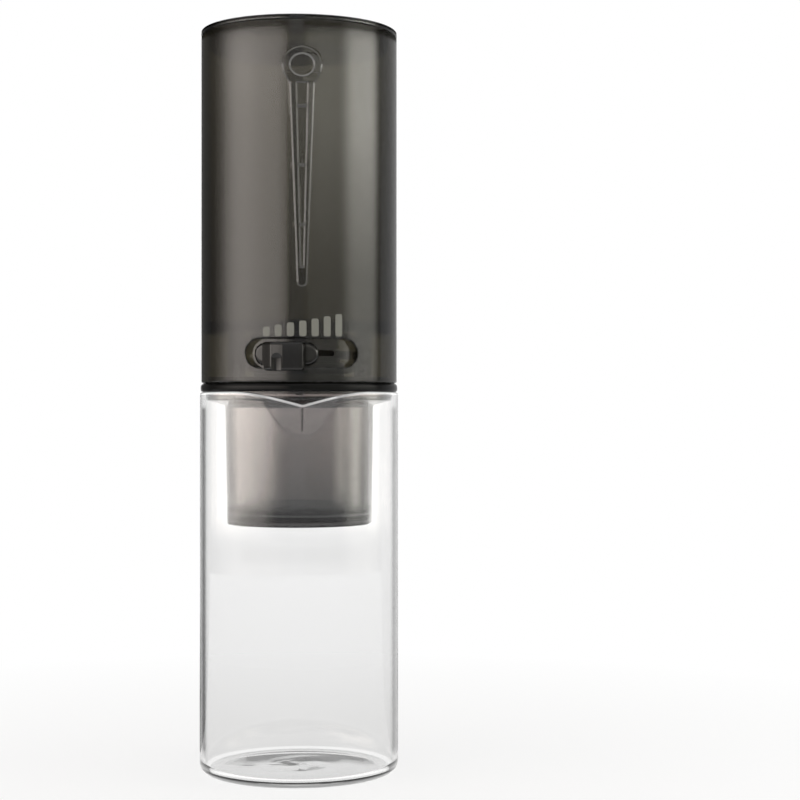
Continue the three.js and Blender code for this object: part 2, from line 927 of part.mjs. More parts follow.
function dripNozzleGeometry() {
  const barb = tubeBore - fitGap;
  const flangeTopHeight = coverLift - fitGap;
  const flangeFoot = flangeTopHeight - nozzleFlange;
  return turnedRing(
    [
      [nozzleBore, flangeFoot - nozzleTipLength],
      [nozzleTipRadius, flangeFoot - nozzleTipLength],
      [nozzleTipRootRadius, flangeFoot],
      [nozzleFlangeRadius, flangeFoot],
      [nozzleFlangeRadius, flangeTopHeight],
      [barb, flangeTopHeight],
      [barb, flangeTopHeight + nozzleBarbLength],
      [nozzleBore, flangeTopHeight + nozzleBarbLength],
    ],
    tubeSides,
  );
}

// A line of points in plan given a thickness.
function ribbon(points, thickness) {
  const left = [];
  const right = [];
  points.forEach(([x, y], index) => {
    const [fromX, fromY] = points[Math.max(index - 1, 0)];
    const [toX, toY] = points[Math.min(index + 1, points.length - 1)];
    const length = Math.hypot(toX - fromX, toY - fromY);
    const sideX = (-(toY - fromY) / length) * (thickness / 2);
    const sideY = ((toX - fromX) / length) * (thickness / 2);
    left.push([x + sideX, y + sideY]);
    right.push([x - sideX, y - sideY]);
  });
  return polygon([...right, ...left.reverse()]);
}

function detentSpringGeometry() {
  const bottom = sliderHeight - leafHeight / 2;
  return geometryOf(raised(ribbon(leafLine, leafThickness), bottom, bottom + leafHeight));
}

// Slider knob: a pill that runs in the pocket, with a scooped thumb grip over it

function knobGeometry() {
  const baseInner = pocketFloorRadius + fitGap;
  const baseOuter = baseInner + knobBase;
  const gripTop = baseOuter + gripRise;
  const gripBottomHeight = sliderHeight - gripBelow;
  const gripTopHeight = sliderHeight + gripAbove;
  const pill = throughFront(obround(knobLength, knobHeight, sliderHeight));
  const outline = gripOutlineShares.map(([along, out]) => [
    along * knobLength,
    -(baseOuter + out * gripRise),
  ]);
  const plan = polygon([
    [outline[0][0], -baseInner],
    ...outline,
    [outline[outline.length - 1][0], -baseInner],
  ]);
  const side = polygon([
    [baseInner, gripBottomHeight],
    [gripTop - gripChamfer, gripBottomHeight],
    [gripTop, gripBottomHeight + gripChamfer],
    [gripTop, gripTopHeight - gripChamfer],
    [gripTop - gripChamfer, gripTopHeight],
    [baseInner, gripTopHeight],
  ]);
  const sideSettings = { depth: knobLength, bevelEnabled: false };
  const sideBar = new THREE.ExtrudeGeometry(side, sideSettings)
    .rotateX(rightAngle)
    .rotateZ(-rightAngle)
    .translate(knobLength / 2, 0, 0);
  const grip = raised(plan, gripBottomHeight, gripTopHeight).intersect(solidOf(sideBar));
  const outsideTank = band(
    tankRadius + fitGap + seatGap,
    gripTop + overrun,
    gripBottomHeight - overrun,
    gripTopHeight + overrun,
  );
  const base = pill.intersect(
    band(baseInner, baseOuter, sliderHeight - knobHeight, sliderHeight + knobHeight),
  );
  const socket = block(
    -tabWidth / 2 - fitGap,
    tabWidth / 2 + fitGap,
    -pocketFloorRadius - tabReach - fitGap,
    -baseInner + overrun,
    sliderHeight - armThickness / 2 - fitGap,
    sliderHeight + armThickness / 2 + fitGap,
  );
  const knob = joined(base, grip.intersect(pill), grip.intersect(outsideTank));
  return geometryOf(knob.subtract(socket));
}

// Lid with its plug and a small vent, which lets air in as the water drips out

function lidGeometry() {
  const plugRadius = tankBore - collarGap;
  const lid = solidOf(
    turned([
      [0, 0],
      [plugRadius - plugWall, 0],
      [plugRadius - plugWall, -plugDepth],
      [plugRadius, -plugDepth],
      [plugRadius, 0],
      [tankRadius, 0],
      [tankRadius, lidThickness - lidChamfer],
      [tankRadius - lidChamfer, lidThickness],
      [0, lidThickness],
    ]),
  );
  const drill = new THREE.CylinderGeometry(ventRadius, ventRadius, 2 * overrun + plugWall, smallSides);
  const [x, y] = polar(plugRadius - plugWall / 2, ventAngle);
  const vent = solidOf(drill.rotateZ(ventAngle).translate(x, y, -plugDepth / 2));
  return geometryOf(lid.subtract(vent));
}

// Materials, in the object's own colours

function material(color, roughness, metalness, opacity = 1) {
  return new THREE.MeshStandardMaterial({
    color,
    roughness,
    metalness,
    opacity,
    transparent: opacity < 1,
  });
}

const clearGlass = material(0xe6e8ea, 0.05, 0, 0.25);
const smokeTank = material(0x57524a, 0.18, 0, 0.8);
const smokeCup = material(0x8f8489, 0.2, 0, 0.6);
const blackSilicone = material(0x0d0d0f, 0.45, 0);
const darkPlastic = material(0x2b2a27, 0.4, 0);
const paleSilicone = material(0xd9d7d0, 0.5, 0, 0.8);
const brushedSteel = material(0xb8bbbd, 0.3, 1);
const filterPaper = material(0xf3f2ee, 0.95, 0);

// Assembly

function piece(name, geometry, finish) {
  const mesh = new THREE.Mesh(toCreasedNormals(geometry, creaseAngle), finish);
  mesh.name = name;
  return mesh;
}

const maker = new THREE.Group();
maker.add(piece("carafe", carafeGeometry(), clearGlass));

const cup = new THREE.Group();
cup.position.z = carafeHeight;
cup.add(
  piece("seal_ring", sealGeometry(), blackSilicone),
  piece("coffee_cup", cupGeometry(), smokeCup),
  piece("dispersion_plate", dispersionPlateGeometry(), smokeCup),
  piece("filter_screen", filterScreenGeometry(), brushedSteel),
  piece("filter_paper", filterPaperGeometry(), filterPaper),
  piece("filter_gasket", filterGasketGeometry(), blackSilicone),
);
maker.add(cup);

const tank = new THREE.Group();
tank.position.z = carafeHeight + sealHeight + seatGap;
tank.add(
  piece("water_tank", tankGeometry(), smokeTank),
  piece("valve_cover", valveCoverGeometry(), darkPlastic),
  piece("tube_clamp", tubeClampGeometry(), brushedSteel),
  piece("drip_tube", dripTubeGeometry(), paleSilicone),
  piece("drip_nozzle", dripNozzleGeometry(), darkPlastic),
  piece("pinch_plunger", plungerGeometry(), darkPlastic),
  piece("detent_spring", detentSpringGeometry(), brushedSteel),
);
bossAngles.forEach((angle, index) => {
  const screw = piece("cover_screw_" + (index + 1), screwGeometry(), brushedSteel);
  const [x, y] = polar(bossCircle, angle);
  screw.position.set(x, y, 0);
  tank.add(screw);
});
maker.add(tank);

const regulator = new THREE.Group();
regulator.rotation.z = restAngle;
regulator.add(
  piece("cam_ring", camRingGeometry(), darkPlastic),
  piece("slider_knob", knobGeometry(), smokeTank),
);
tank.add(regulator);

const lid = new THREE.Group();
lid.position.z = tankHeight + seatGap;
lid.add(piece("tank_lid", lidGeometry(), smokeTank));
tank.add(lid);

export default maker;
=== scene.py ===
# %% [markdown]
# # A slow drip cold brew maker
# The maker is a tower of clear and smoky vessels: a water tank on top, a coffee cup hung under it and a
# glass carafe that holds both. A packed engineering model already says where every piece is and how it
# moves. This lesson loads that model as a fixed frame and gives it its looks: smooth glass and plastic
# shells in place of the faceted ones, and a finish for every piece.

# %% The frame
import math

import bmesh
import bpy
import numpy as np
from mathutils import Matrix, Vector


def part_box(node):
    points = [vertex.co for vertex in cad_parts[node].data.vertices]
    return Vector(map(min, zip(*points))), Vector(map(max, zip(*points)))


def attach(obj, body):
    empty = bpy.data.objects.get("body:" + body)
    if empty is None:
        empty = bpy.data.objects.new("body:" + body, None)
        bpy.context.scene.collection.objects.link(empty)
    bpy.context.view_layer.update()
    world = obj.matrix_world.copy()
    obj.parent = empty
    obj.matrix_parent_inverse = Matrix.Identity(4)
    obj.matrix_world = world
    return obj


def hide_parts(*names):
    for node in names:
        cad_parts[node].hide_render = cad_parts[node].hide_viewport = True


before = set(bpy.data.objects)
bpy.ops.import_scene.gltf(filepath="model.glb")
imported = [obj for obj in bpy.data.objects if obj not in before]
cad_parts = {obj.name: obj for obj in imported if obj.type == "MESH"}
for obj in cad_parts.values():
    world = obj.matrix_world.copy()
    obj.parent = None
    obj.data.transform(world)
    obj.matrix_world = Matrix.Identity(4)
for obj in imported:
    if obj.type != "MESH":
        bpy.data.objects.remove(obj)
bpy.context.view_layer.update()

scene = bpy.context.scene


def linked(name, data):
    """A new object, placed in the scene."""
    made = bpy.data.objects.new(name, data)
    scene.collection.objects.link(made)
    return made


def mesh_of(name, points, faces):
    """A mesh from its corners and its faces."""
    mesh = bpy.data.meshes.new(name)
    mesh.from_pydata([tuple(point) for point in points], [], faces)
    return mesh


# %% [markdown]
# Every vessel is round and shares one axis, so a few radii and heights place all of them. They are read
# from the frame's boxes, so the fine shells end up exactly where the plain ones stand.

# %% Sizes from the frame
MM = 0.001
glass_radius, rim_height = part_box("carafe")[1].x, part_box("carafe")[1].z
seal_low, seal_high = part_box("seal_ring")
cup_low, cup_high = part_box("coffee_cup")
tank_low, tank_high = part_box("water_tank")
lid_low, lid_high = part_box("tank_lid")
tank_radius, tank_foot, tank_top = tank_high.x, tank_low.z, tank_high.z
print("tank from", round(tank_foot, 5), "to", round(tank_top, 5), "radius", round(tank_radius, 5))

# %% [markdown]
# The camera is worked out from the photograph as a surveyor would. The vessels' rims flatten towards one
# height, the horizon, and the width of the glass gives the distance. The maker stands left of the middle,
# so the camera looks past it to the right instead of shifting its lens. It also stands a little to the
# left, because the pouring lip appears just right of the axis.

# %% Camera
PICTURE = 800
AXIS_PIXEL, HORIZON_PIXEL, FOCAL_PIXELS = 299.2, 403.0, 1876.0
EYE_DISTANCE, EYE_HEIGHT, EYE_AZIMUTH = 741 * MM, 144.7 * MM, math.radians(-1.6)

camera = linked("camera", bpy.data.cameras.new("camera"))
scene.camera = camera
camera.data.lens = camera.data.sensor_width * FOCAL_PIXELS / PICTURE
camera.location = (
    EYE_DISTANCE * math.sin(EYE_AZIMUTH),
    -EYE_DISTANCE * math.cos(EYE_AZIMUTH),
    EYE_HEIGHT,
)
turn_right = math.atan((PICTURE / 2 - AXIS_PIXEL) / FOCAL_PIXELS) - EYE_AZIMUTH
tilt_up = math.atan((HORIZON_PIXEL - PICTURE / 2) / FOCAL_PIXELS)
camera.rotation_euler = (math.pi / 2 + tilt_up, 0, -turn_right)
print("lens in millimetres:", round(camera.data.lens, 2))

# %% [markdown]
# Shader maths reads best as plain Python. The class below holds one socket of a node tree, and each sign
# written on it adds one Math node. A sheet is the tree of one finish. Its method node makes any node from
# its type, its settings and the values or links of its sockets, and the methods under it make the nodes
# that are used most.


# %% Sockets that do sums
class Wire:
    """One output socket. Signs and numbers written on it become Math nodes."""

    def __init__(self, sheet, socket):
        self.sheet = sheet
        self.socket = socket

    def sum(self, operation, first, second):
        return self.sheet.node("ShaderNodeMath", {"operation": operation}, {0: first, 1: second})

    def __add__(self, other):
        return self.sum("ADD", self, other)

    def __radd__(self, other):
        return self.sum("ADD", other, self)

    def __sub__(self, other):
        return self.sum("SUBTRACT", self, other)

    def __rsub__(self, other):
        return self.sum("SUBTRACT", other, self)

    def __mul__(self, other):
        return self.sum("MULTIPLY", self, other)

    def __rmul__(self, other):
        return self.sum("MULTIPLY", other, self)

    def __truediv__(self, other):
        return self.sum("DIVIDE", self, other)

    def __rtruediv__(self, other):
        return self.sum("DIVIDE", other, self)

    def at_most(self, limit):
        return self.sum("MINIMUM", self, limit)

    def beside(self, name):
        """Another output of the same node."""
        return Wire(self.sheet, self.socket.node.outputs[name])

    def blend(self, first, second):
        """A colour: first where this is 0, second where it is 1."""
        settings = {"data_type": "RGBA", "clamp_factor": True}
        return self.sheet.node("ShaderNodeMix", settings, {0: self, 6: first, 7: second}, output=2)


class Sheet:
    """The node tree of one material, light card or world."""

    def __init__(self, owner):
        owner.use_nodes = True
        self.tree = owner.node_tree
        self.tree.nodes.clear()

    def node(self, kind, settings=None, inputs=None, output=0):
        made = self.tree.nodes.new(kind)
        for name, value in (settings or {}).items():
            if name == "stops":
                self.set_stops(made.color_ramp, value)
            else:
                setattr(made, name, value)
        for name, value in (inputs or {}).items():
            if isinstance(value, Wire):
                self.tree.links.new(value.socket, made.inputs[name])
            else:
                made.inputs[name].default_value = value
        return Wire(self, made.outputs[output]) if len(made.outputs) else made

    def set_stops(self, ramp, stops):
        while len(ramp.elements) > 1:
            ramp.elements.remove(ramp.elements[0])
        ramp.elements[0].position, ramp.elements[0].color = stops[0][0], (*[stops[0][1]] * 3, 1)
        for place, level in stops[1:]:
            ramp.elements.new(place).color = (level, level, level, 1)

    def ramp(self, value, stops):
        """A grey curve through (place, level) stops."""
        return self.node("ShaderNodeValToRGB", {"stops": stops}, {0: value})

    def stored(self, name):
        """A number that is kept at the mesh's corners under this name."""
        return self.node("ShaderNodeAttribute", {"attribute_name": name}, output="Fac")

    def facing(self):
        """0 where a surface faces the eye, 1 where it turns away."""
        return self.node("ShaderNodeLayerWeight", None, {"Blend": 0.5}, output="Facing")

    def place(self):
        """Where a point is on the object, in metres."""
        return self.node("ShaderNodeTexCoord", output="Object")

    def stretched(self, scale):
        """The place, squeezed or stretched along each axis, which draws out a pattern."""
        return self.node("ShaderNodeMapping", None, {"Vector": self.place(), "Scale": scale})

    def noise(self, scale, detail=2.0, vector=None):
        inputs = {"Scale": scale, "Detail": detail, "Vector": vector or self.place()}
        return self.node("ShaderNodeTexNoise", None, inputs)

    def bump(self, height, strength, distance):
        inputs = {"Height": height, "Strength": strength, "Distance": distance}
        return self.node("ShaderNodeBump", None, inputs)

    def show(self, surface, kind="Material"):
        """Ends the tree with what is seen."""
        return self.node("ShaderNodeOutput" + kind, None, {"Surface": surface})


def grey(level):
    """One level as a colour."""
    return (level, level, level, 1.0)


print("sockets can be added, subtracted, multiplied and divided")

# %% [markdown]
# The studio is a white cove. The world is white to the camera and in glass and gloss, and softer for
# matt surfaces, so that colours come out about as they are written. The floor is white in the same way
# but keeps part of its own shading round the maker's foot, so it still takes a soft shadow there.

# %% White world and floor
DIFFUSE_LEVEL = 0.55


def white_rays(sheet):
    """1 for rays that should see the white cove: straight, mirrored or through glass."""
    path = sheet.node("ShaderNodeLightPath", output="Is Camera Ray")
    return (path + path.beside("Is Glossy Ray") + path.beside("Is Transmission Ray")).at_most(1.0)


world = bpy.data.worlds.new("white_cove")
scene.world = world
sheet = Sheet(world)
seen = white_rays(sheet)
level = seen * (1 - DIFFUSE_LEVEL) + DIFFUSE_LEVEL
sky = sheet.node("ShaderNodeBackground", None, {"Color": grey(1.0), "Strength": level})
sheet.show(sky, "World")

FLOOR_REACH, FLOOR_DROP = 12.0, 0.02 * MM
SHADOW_REACH, SHADOW_SHARE = 0.35, 0.25
corners = [(-1, -1), (1, -1), (1, 1), (-1, 1)]
floor_points = [(x * FLOOR_REACH, y * FLOOR_REACH, -FLOOR_DROP) for x, y in corners]
floor_mesh = mesh_of("floor", floor_points, [(0, 1, 2, 3)])
floor = linked("floor", floor_mesh)

floor_paint = bpy.data.materials.new("white_floor")
sheet = Sheet(floor_paint)
away = sheet.node("ShaderNodeVectorMath", {"operation": "LENGTH"}, {0: sheet.place()}, output=1)
near = sheet.ramp(away / SHADOW_REACH, [(0.0, 1.0), (0.3, 0.8), (1.0, 0.0)])
matt = sheet.node("ShaderNodeBsdfDiffuse", None, {"Color": grey(0.95)})
glow = sheet.node("ShaderNodeEmission", None, {"Color": grey(1.0), "Strength": 1.0})
white_share = white_rays(sheet) * (1.0 - near * SHADOW_SHARE)
mixed = sheet.node("ShaderNodeMixShader", None, {0: white_share, 1: matt, 2: glow})
sheet.show(mixed)
floor_mesh.materials.append(floor_paint)
print("floor of", 2 * FLOOR_REACH, "metres, matt level", DIFFUSE_LEVEL)

# %% [markdown]
# Round shiny things are drawn by what they mirror. A cylinder mirrors each direction of the studio in one
# upright strip, so the lights are curved cards round the maker: a soft box on either side that gives a
# pale band on the tank, and dark cards between and behind them that give its dark bands. The right box
# hangs higher, so its band fades lower down, and all of them end at one height, which darkens the tank's
# top. Each card's brightness follows one curve along it and one upwards. They show in reflections only,
# and the two soft boxes also light what is matt. Four low cards fade out to nothing instead. Two are soft
# boxes that show only through the glass, where they light the cup's sides. The other two are the dark
# edge of the table, which the cup's foot mirrors, and a dark board over it, which the glass in front of
# the foot mirrors.

# %% Soft boxes and dark cards
FAR = {"distance": 900 * MM, "foot": -60 * MM, "head": 900 * MM, "mirrored": True, "through": False}
LOW = {"distance": 810 * MM, "foot": 0.0, "head": 150 * MM, "mirrored": False, "through": True}
TABLE = {"distance": 780 * MM, "foot": 0.0, "head": 50 * MM, "mirrored": False, "through": True}
BOARD = {"distance": 770 * MM, "foot": 30 * MM, "head": 75 * MM, "mirrored": True, "through": False}
PINKISH, CREAM, PLAIN = (1.0, 0.93, 0.87), (1.0, 0.98, 0.9), (1.0, 1.0, 1.0)
CARD_STEPS, SHEET_STEPS = 24, 8


def as_shares(stops, first, last):
    """Stops given in degrees or metres, as shares of the way from first to last."""
    return [((place - first) / (last - first), level) for place, level in stops]


def strip(name, first, last, ends, steps):
    """A strip round the maker between two angles in degrees; ends has its two (distance, height)."""
    points = [
        (distance * math.sin(angle), -distance * math.cos(angle), height)
        for angle in np.radians(np.linspace(first, last, steps + 1))
        for distance, height in ends
    ]
    faces = [(2 * i, 2 * i + 2, 2 * i + 3, 2 * i + 1) for i in range(steps)]
    mesh = mesh_of(name, points, faces)
    mesh.materials.append(bpy.data.materials.new(name))
    return linked(name, mesh), Sheet(mesh.materials[0])


def studio_card(name, layer, across, upward, strength, colour=PLAIN):
    """A curved card. Across has its stops in degrees, positive to the right, and upward in metres."""
    first, last = across[0][0], across[-1][0]
    ends = [(layer["distance"], layer["foot"]), (layer["distance"], layer["head"])]
    card, sheet = strip(name, first, last, ends, CARD_STEPS)
    chart = card.data.uv_layers.new(name="along_and_up")
    for loop in card.data.loops:
        step, top = divmod(loop.vertex_index, 2)
        chart.data[loop.index].uv = (step / CARD_STEPS, top)
    along = sheet.node("ShaderNodeSeparateXYZ", None, {0: sheet.node("ShaderNodeUVMap")})
    level = sheet.ramp(along, as_shares(across, first, last))
    level = level * sheet.ramp(along.beside("Y"), as_shares(upward, layer["foot"], layer["head"]))
    if layer is FAR:
        glow = {"Color": (*colour, 1.0), "Strength": level * strength}
        surface = sheet.node("ShaderNodeEmission", None, glow)
    else:
        glow = sheet.node("ShaderNodeEmission", None, {"Color": (*colour, 1.0), "Strength": strength})
        clear = sheet.node("ShaderNodeBsdfTransparent", None, {"Color": grey(1.0)})
        surface = sheet.node("ShaderNodeMixShader", None, {0: level, 1: clear, 2: glow})
    sheet.show(surface)
    card.visible_camera = False
    card.visible_shadow = False
    card.visible_diffuse = layer is FAR and strength > 1
    card.visible_glossy = layer["mirrored"]
    card.visible_transmission = layer["through"]


LEFT_BAND = [(-125, 0.03), (-116, 0.05), (-106, 0.14), (-99, 0.28), (-92, 0.5), (-80, 0.86), (-68, 1.0)]
LEFT_BAND += [(-57, 0.97), (-47, 0.86), (-27, 0.74), (-18, 0.5), (-13, 0.2)]
RIGHT_BAND = [(5, 0.15), (9, 0.3), (24, 0.34), (44, 0.33), (49, 0.42), (54, 0.64), (59, 0.88), (66, 1.0)]
RIGHT_BAND += [(76, 0.96), (84, 0.9), (90, 0.8), (95, 0.58), (100, 0.26), (106, 0.06)]
BOX_TOPS = [(0.4525, 0.95), (0.456, 0.76), (0.4575, 0.62), (0.459, 0.42), (0.461, 0.2), (0.463, 0.16)]
LEFT_RISE = [(0.0, 0.2), (0.1, 0.26), (0.165, 0.76), (0.25, 0.82), (0.38, 0.88), (0.42, 0.97), (0.45, 1.0)]
RIGHT_RISE = [(0.0, 0.16), (0.1, 0.2), (0.165, 0.36), (0.25, 0.42), (0.32, 0.7), (0.38, 1.0), (0.45, 1.0)]
STRIPE_RISE = [(0.05, 0.6), (0.25, 0.6), (0.38, 1.0)]
DARK_RISE = [(0.4575, 1.0), (0.4595, 0.15)]
DARK_LEFT, DARK_RIGHT, LEFT_LEVEL, RIGHT_LEVEL = (-164, -125), (106, 164), 0.13, 0.5
studio_card("left_soft_box", FAR, LEFT_BAND, LEFT_RISE + BOX_TOPS, 5.0, PINKISH)
studio_card("right_soft_box", FAR, RIGHT_BAND, RIGHT_RISE + BOX_TOPS, 6.3, CREAM)
studio_card("middle_dark_card", FAR, [(-13, 1.0), (5, 1.0)], STRIPE_RISE, 0.85)
studio_card("left_dark_card", FAR, [(side, 1.0) for side in DARK_LEFT], DARK_RISE, LEFT_LEVEL)
studio_card("right_dark_card", FAR, [(side, 1.0) for side in DARK_RIGHT], DARK_RISE, RIGHT_LEVEL)

LOW_LEFT = [(-130, 0.0), (-116, 0.35), (-109, 0.76), (-97, 0.95), (-80, 1.0), (-72, 0.9), (-57, 0.76)]
LOW_LEFT += [(-43, 0.55), (-34, 0.18), (-28, 0.0)]
LOW_RIGHT = [(48, 0.0), (56, 0.6), (64, 0.95), (77, 0.42), (88, 0.85), (98, 0.97), (106, 0.45)]
LOW_RIGHT += [(112, 0.12), (118, 0.0)]
LOW_RISE = [(0.034, 0.0), (0.049, 0.85), (0.058, 1.0)]
EDGE_BAND = [(-125, 0.0), (-110, 0.25), (-75, 0.3), (-55, 1.0)]
EDGE_BAND += [(72, 1.0), (84, 0.35), (106, 0.2), (120, 0.0)]
EDGE_RISE = [(0.006, 0.0), (0.016, 1.0), (0.03, 1.0), (0.036, 0.0)]
BOARD_RISE = [(0.04, 0.0), (0.048, 1.0), (0.058, 1.0), (0.066, 0.0)]
studio_card("low_left_box", LOW, LOW_LEFT, LOW_RISE, 5.4, PINKISH)
studio_card("low_right_box", LOW, LOW_RIGHT, LOW_RISE, 3.5, CREAM)
studio_card("table_edge", TABLE, EDGE_BAND, EDGE_RISE, 0.04)
studio_card("dark_board", BOARD, EDGE_BAND, BOARD_RISE, 0.04)
print("nine cards, the nearest at", BOARD["distance"], "metres")

# %% [markdown]
# Lower down, the glass mirrors the floor instead of the cards. So two dark sheets lie on the floor under
# the two dark cards, and the glass's sides stay dark down to its foot.

# %% Dark sheets on the floor
SHEET_START, SHEET_HEIGHT = 60 * MM, 0.5 * MM
sheet_ends = [(SHEET_START, SHEET_HEIGHT), (FAR["distance"], SHEET_HEIGHT)]
for name, sides, level in (
    ("left_dark_sheet", DARK_LEFT, LEFT_LEVEL),
    ("right_dark_sheet", DARK_RIGHT, RIGHT_LEVEL),
):
    dark_sheet, sheet = strip(name, *sides, sheet_ends, SHEET_STEPS)
    glow = sheet.node("ShaderNodeEmission", None, {"Color": grey(level), "Strength": 1.0})
    sheet.show(glow)
    for rays in ("camera", "shadow", "diffuse", "transmission"):
        setattr(dark_sheet, "visible_" + rays, False)
print("two dark sheets reach from", SHEET_START, "to", FAR["distance"], "metres")

# %% [markdown]
# ## Finishes
# Clear glass bends the light and takes very little of it, which the volume inside the mesh does evenly.
# The sides of a glass cylinder look dark because there the light runs along inside the wall, so the wall
# gets a painted shade where it turns away from the eye, a little less on its right side. A painted shade
# makes the lower part greyer, darker towards the bottom, and a painted shade marks the lip's crease and
# the outline of its lens. Light that runs inside the wall leaves it at the fire-polished rim, so the rim
# has a painted highlight that glows as two fine lines, and a softer one at the round foot. Hand-finished
# glass is also slightly wavy.

# %% Clear glass
finishes = {}


def finished(name, shader, volume=None):
    """Ends a sheet with its output, and with what fills the piece where light goes through it."""
    output = shader.sheet.show(shader)
    if volume:
        shader.sheet.tree.links.new(volume.socket, output.inputs["Volume"])
    print("finished", name)


def new_sheet(name):
    """The sheet of a new material, which is kept under a name of its own."""
    finishes[name] = bpy.data.materials.new(name + "_finish")
    return Sheet(finishes[name])


GLASS_INDEX, GLASS_HAZE = 1.47, 0.01
GLASS_LOSS, GLASS_TINT = 8.0, (0.06, 0.05, 0.0, 1.0)
SHADE_STARTS, SHADE_FADES_IN = 7 * MM, 4 * MM
SHADE_ENDS, SHADE_FADES_OUT = rim_height - 5 * MM, 2 * MM
RIGHT_SIDE_SHADE, LOW_SHADE, LOW_SHADE_HEIGHT = 0.72, 0.075, 105 * MM
RIM_LIGHT, RISING = 0.4, [(0.0, 0.0), (1.0, 1.0)]
sheet = new_sheet("clear_glass")
# Painted shade on the wall's sides where they turn away from the eye, lighter on the right side
side_shade = [(0.0, 0.0), (0.3, 0.01), (0.45, 0.03), (0.6, 0.07), (0.64, 0.35), (0.67, 0.75), (0.7, 0.96)]
side_shade += [(0.74, 0.96), (0.78, 0.75), (0.83, 0.35), (0.9, 0.08), (1.0, 0.05)]
edge = sheet.ramp(sheet.facing(), side_shade) * sheet.stored("outer")
place = sheet.node("ShaderNodeSeparateXYZ", None, {0: sheet.place()})
height = place.beside("Z")
edge = edge * sheet.ramp(place / (2 * glass_radius) + 0.5, [(0.0, 1.0), (0.5, 1.0), (1.0, RIGHT_SIDE_SHADE)])
edge = edge * sheet.ramp((height - SHADE_STARTS) / SHADE_FADES_IN, RISING)
edge = edge * sheet.ramp((SHADE_ENDS - height) / SHADE_FADES_OUT, RISING)
waves = sheet.bump(sheet.noise(scale=26.0, detail=1.0), strength=0.05, distance=1.0 * MM)
# Painted highlight that makes the rim glow as two fine lines and the foot's corner more softly
rim_lines = [(0.0, 0.0), (0.15, 0.05), (0.35, 0.7), (0.55, 0.25), (0.8, 1.0), (1.0, 0.3)]
rim_light = sheet.ramp(sheet.stored("rim"), rim_lines)
# Painted shade that greys the glass more towards the bottom
low_shade = sheet.ramp(height / LOW_SHADE_HEIGHT, [(0.0, LOW_SHADE), (1.0, 0.0)])
# All the painted shade of the glass: its sides, its crease and lens outline, and its lower part
shade = (edge + sheet.stored("crease") + low_shade).at_most(1.0)
glass = sheet.node(
    "ShaderNodeBsdfPrincipled",
    None,
    {
        "Base Color": shade.blend(grey(0.965), grey(0.05)),
        "Roughness": sheet.noise(scale=140.0) * GLASS_HAZE,
        "Emission Color": rim_light.blend(grey(0.0), grey(1.0)),
        "Emission Strength": RIM_LIGHT,
        "IOR": GLASS_INDEX,
        "Transmission Weight": 1.0,
        "Normal": waves,
    },
)
loss = sheet.node("ShaderNodeVolumeAbsorption", None, {"Color": GLASS_TINT, "Density": GLASS_LOSS})
finished("clear_glass", glass, loss)
print("clear glass loses", GLASS_LOSS, "per metre")

# %% [markdown]
# The tank, its lid and the cup are moulded from smoky see-through plastic. A dye inside the wall does the
# darkening, so a thicker wall is darker, just as in the real moulding. The warm tone comes from taking
# more blue than red. Where the wall turns away from the eye it gets a painted shade. Gloss moulded plastic
# is not as true as glass: it has faint flow waves along the draw of the mould and a fine haze that varies.
# Raised outlines are coloured a shade darker, and their bevelled edges get a painted glint for the light
# they catch. Two attributes of the mesh tell the shader where, and on the cup the same two give its foot
# a painted shade and two painted highlight lines.

# %% Smoky plastics
PLASTIC_INDEX = 1.49
PAINTED_GLINT_STRENGTH, EDGE_SHADE = 0.1, 0.65


def smoky(name, tint, density, haze, polish, relief_and_shade_depth, darkest):
    """Dyed see-through plastic, with painted shade where it turns away and darker where the mesh marks it.
    """
    sheet = new_sheet(name)
    most = EDGE_SHADE / (1 - darkest)
    # Painted shade where the plastic turns away from the eye
    edge = sheet.ramp(sheet.facing(), [(0.0, 0.0), (0.7, 0.0), (0.92, most), (1.0, most)])
    # On the cup's foot this is painted shade; on the tank it marks the relief, which is coloured darker
    raised = sheet.stored("raised")
    shade = (edge + raised * relief_and_shade_depth).at_most(1.0)
    flow = sheet.noise(scale=30.0, vector=sheet.stretched((1.0, 1.0, 0.12)))
    scuffs = sheet.noise(scale=420.0, detail=3.0)
    plastic = sheet.node(
        "ShaderNodeBsdfPrincipled",
        None,
        {
            "Base Color": shade.blend(grey(1.0), grey(darkest)),
            "Roughness": sheet.noise(scale=60.0) * haze + scuffs * (haze / 2) + haze / 2,
            "IOR": PLASTIC_INDEX,
            "Transmission Weight": 1.0,
            "Coat Weight": raised * -polish + polish,
            # Painted glints on the tank's relief edges and painted highlight lines round the cup's foot
            "Emission Color": sheet.stored("bevel").blend(grey(0.0), grey(1.0)),
            "Emission Strength": PAINTED_GLINT_STRENGTH,
            "Normal": sheet.bump(flow, strength=0.06, distance=1.0 * MM),
        },
    )
    dye = sheet.node("ShaderNodeVolumeAbsorption", None, {"Color": tint, "Density": density})
    finished(name, plastic, dye)


tank_tint, cup_tint = (0.18, 0.15, 0.05, 1.0), (0.12, 0.03, 0.0, 1.0)
smoky("smoke_tank", tank_tint, 910.0, haze=0.05, polish=0.0, relief_and_shade_depth=0.45, darkest=0.35)
smoky("smoke_cup", cup_tint, 655.0, haze=0.04, polish=0.4, relief_and_shade_depth=1.0, darkest=0.05)

# %% [markdown]
# The seal is soft black silicone, pressed between glass and plastic. It is glossy where it was moulded
# against polished steel, and a little dusty. The drip tube is the same material without its pigment.

# %% Silicones
MOTTLE = (0.8, 1.15)


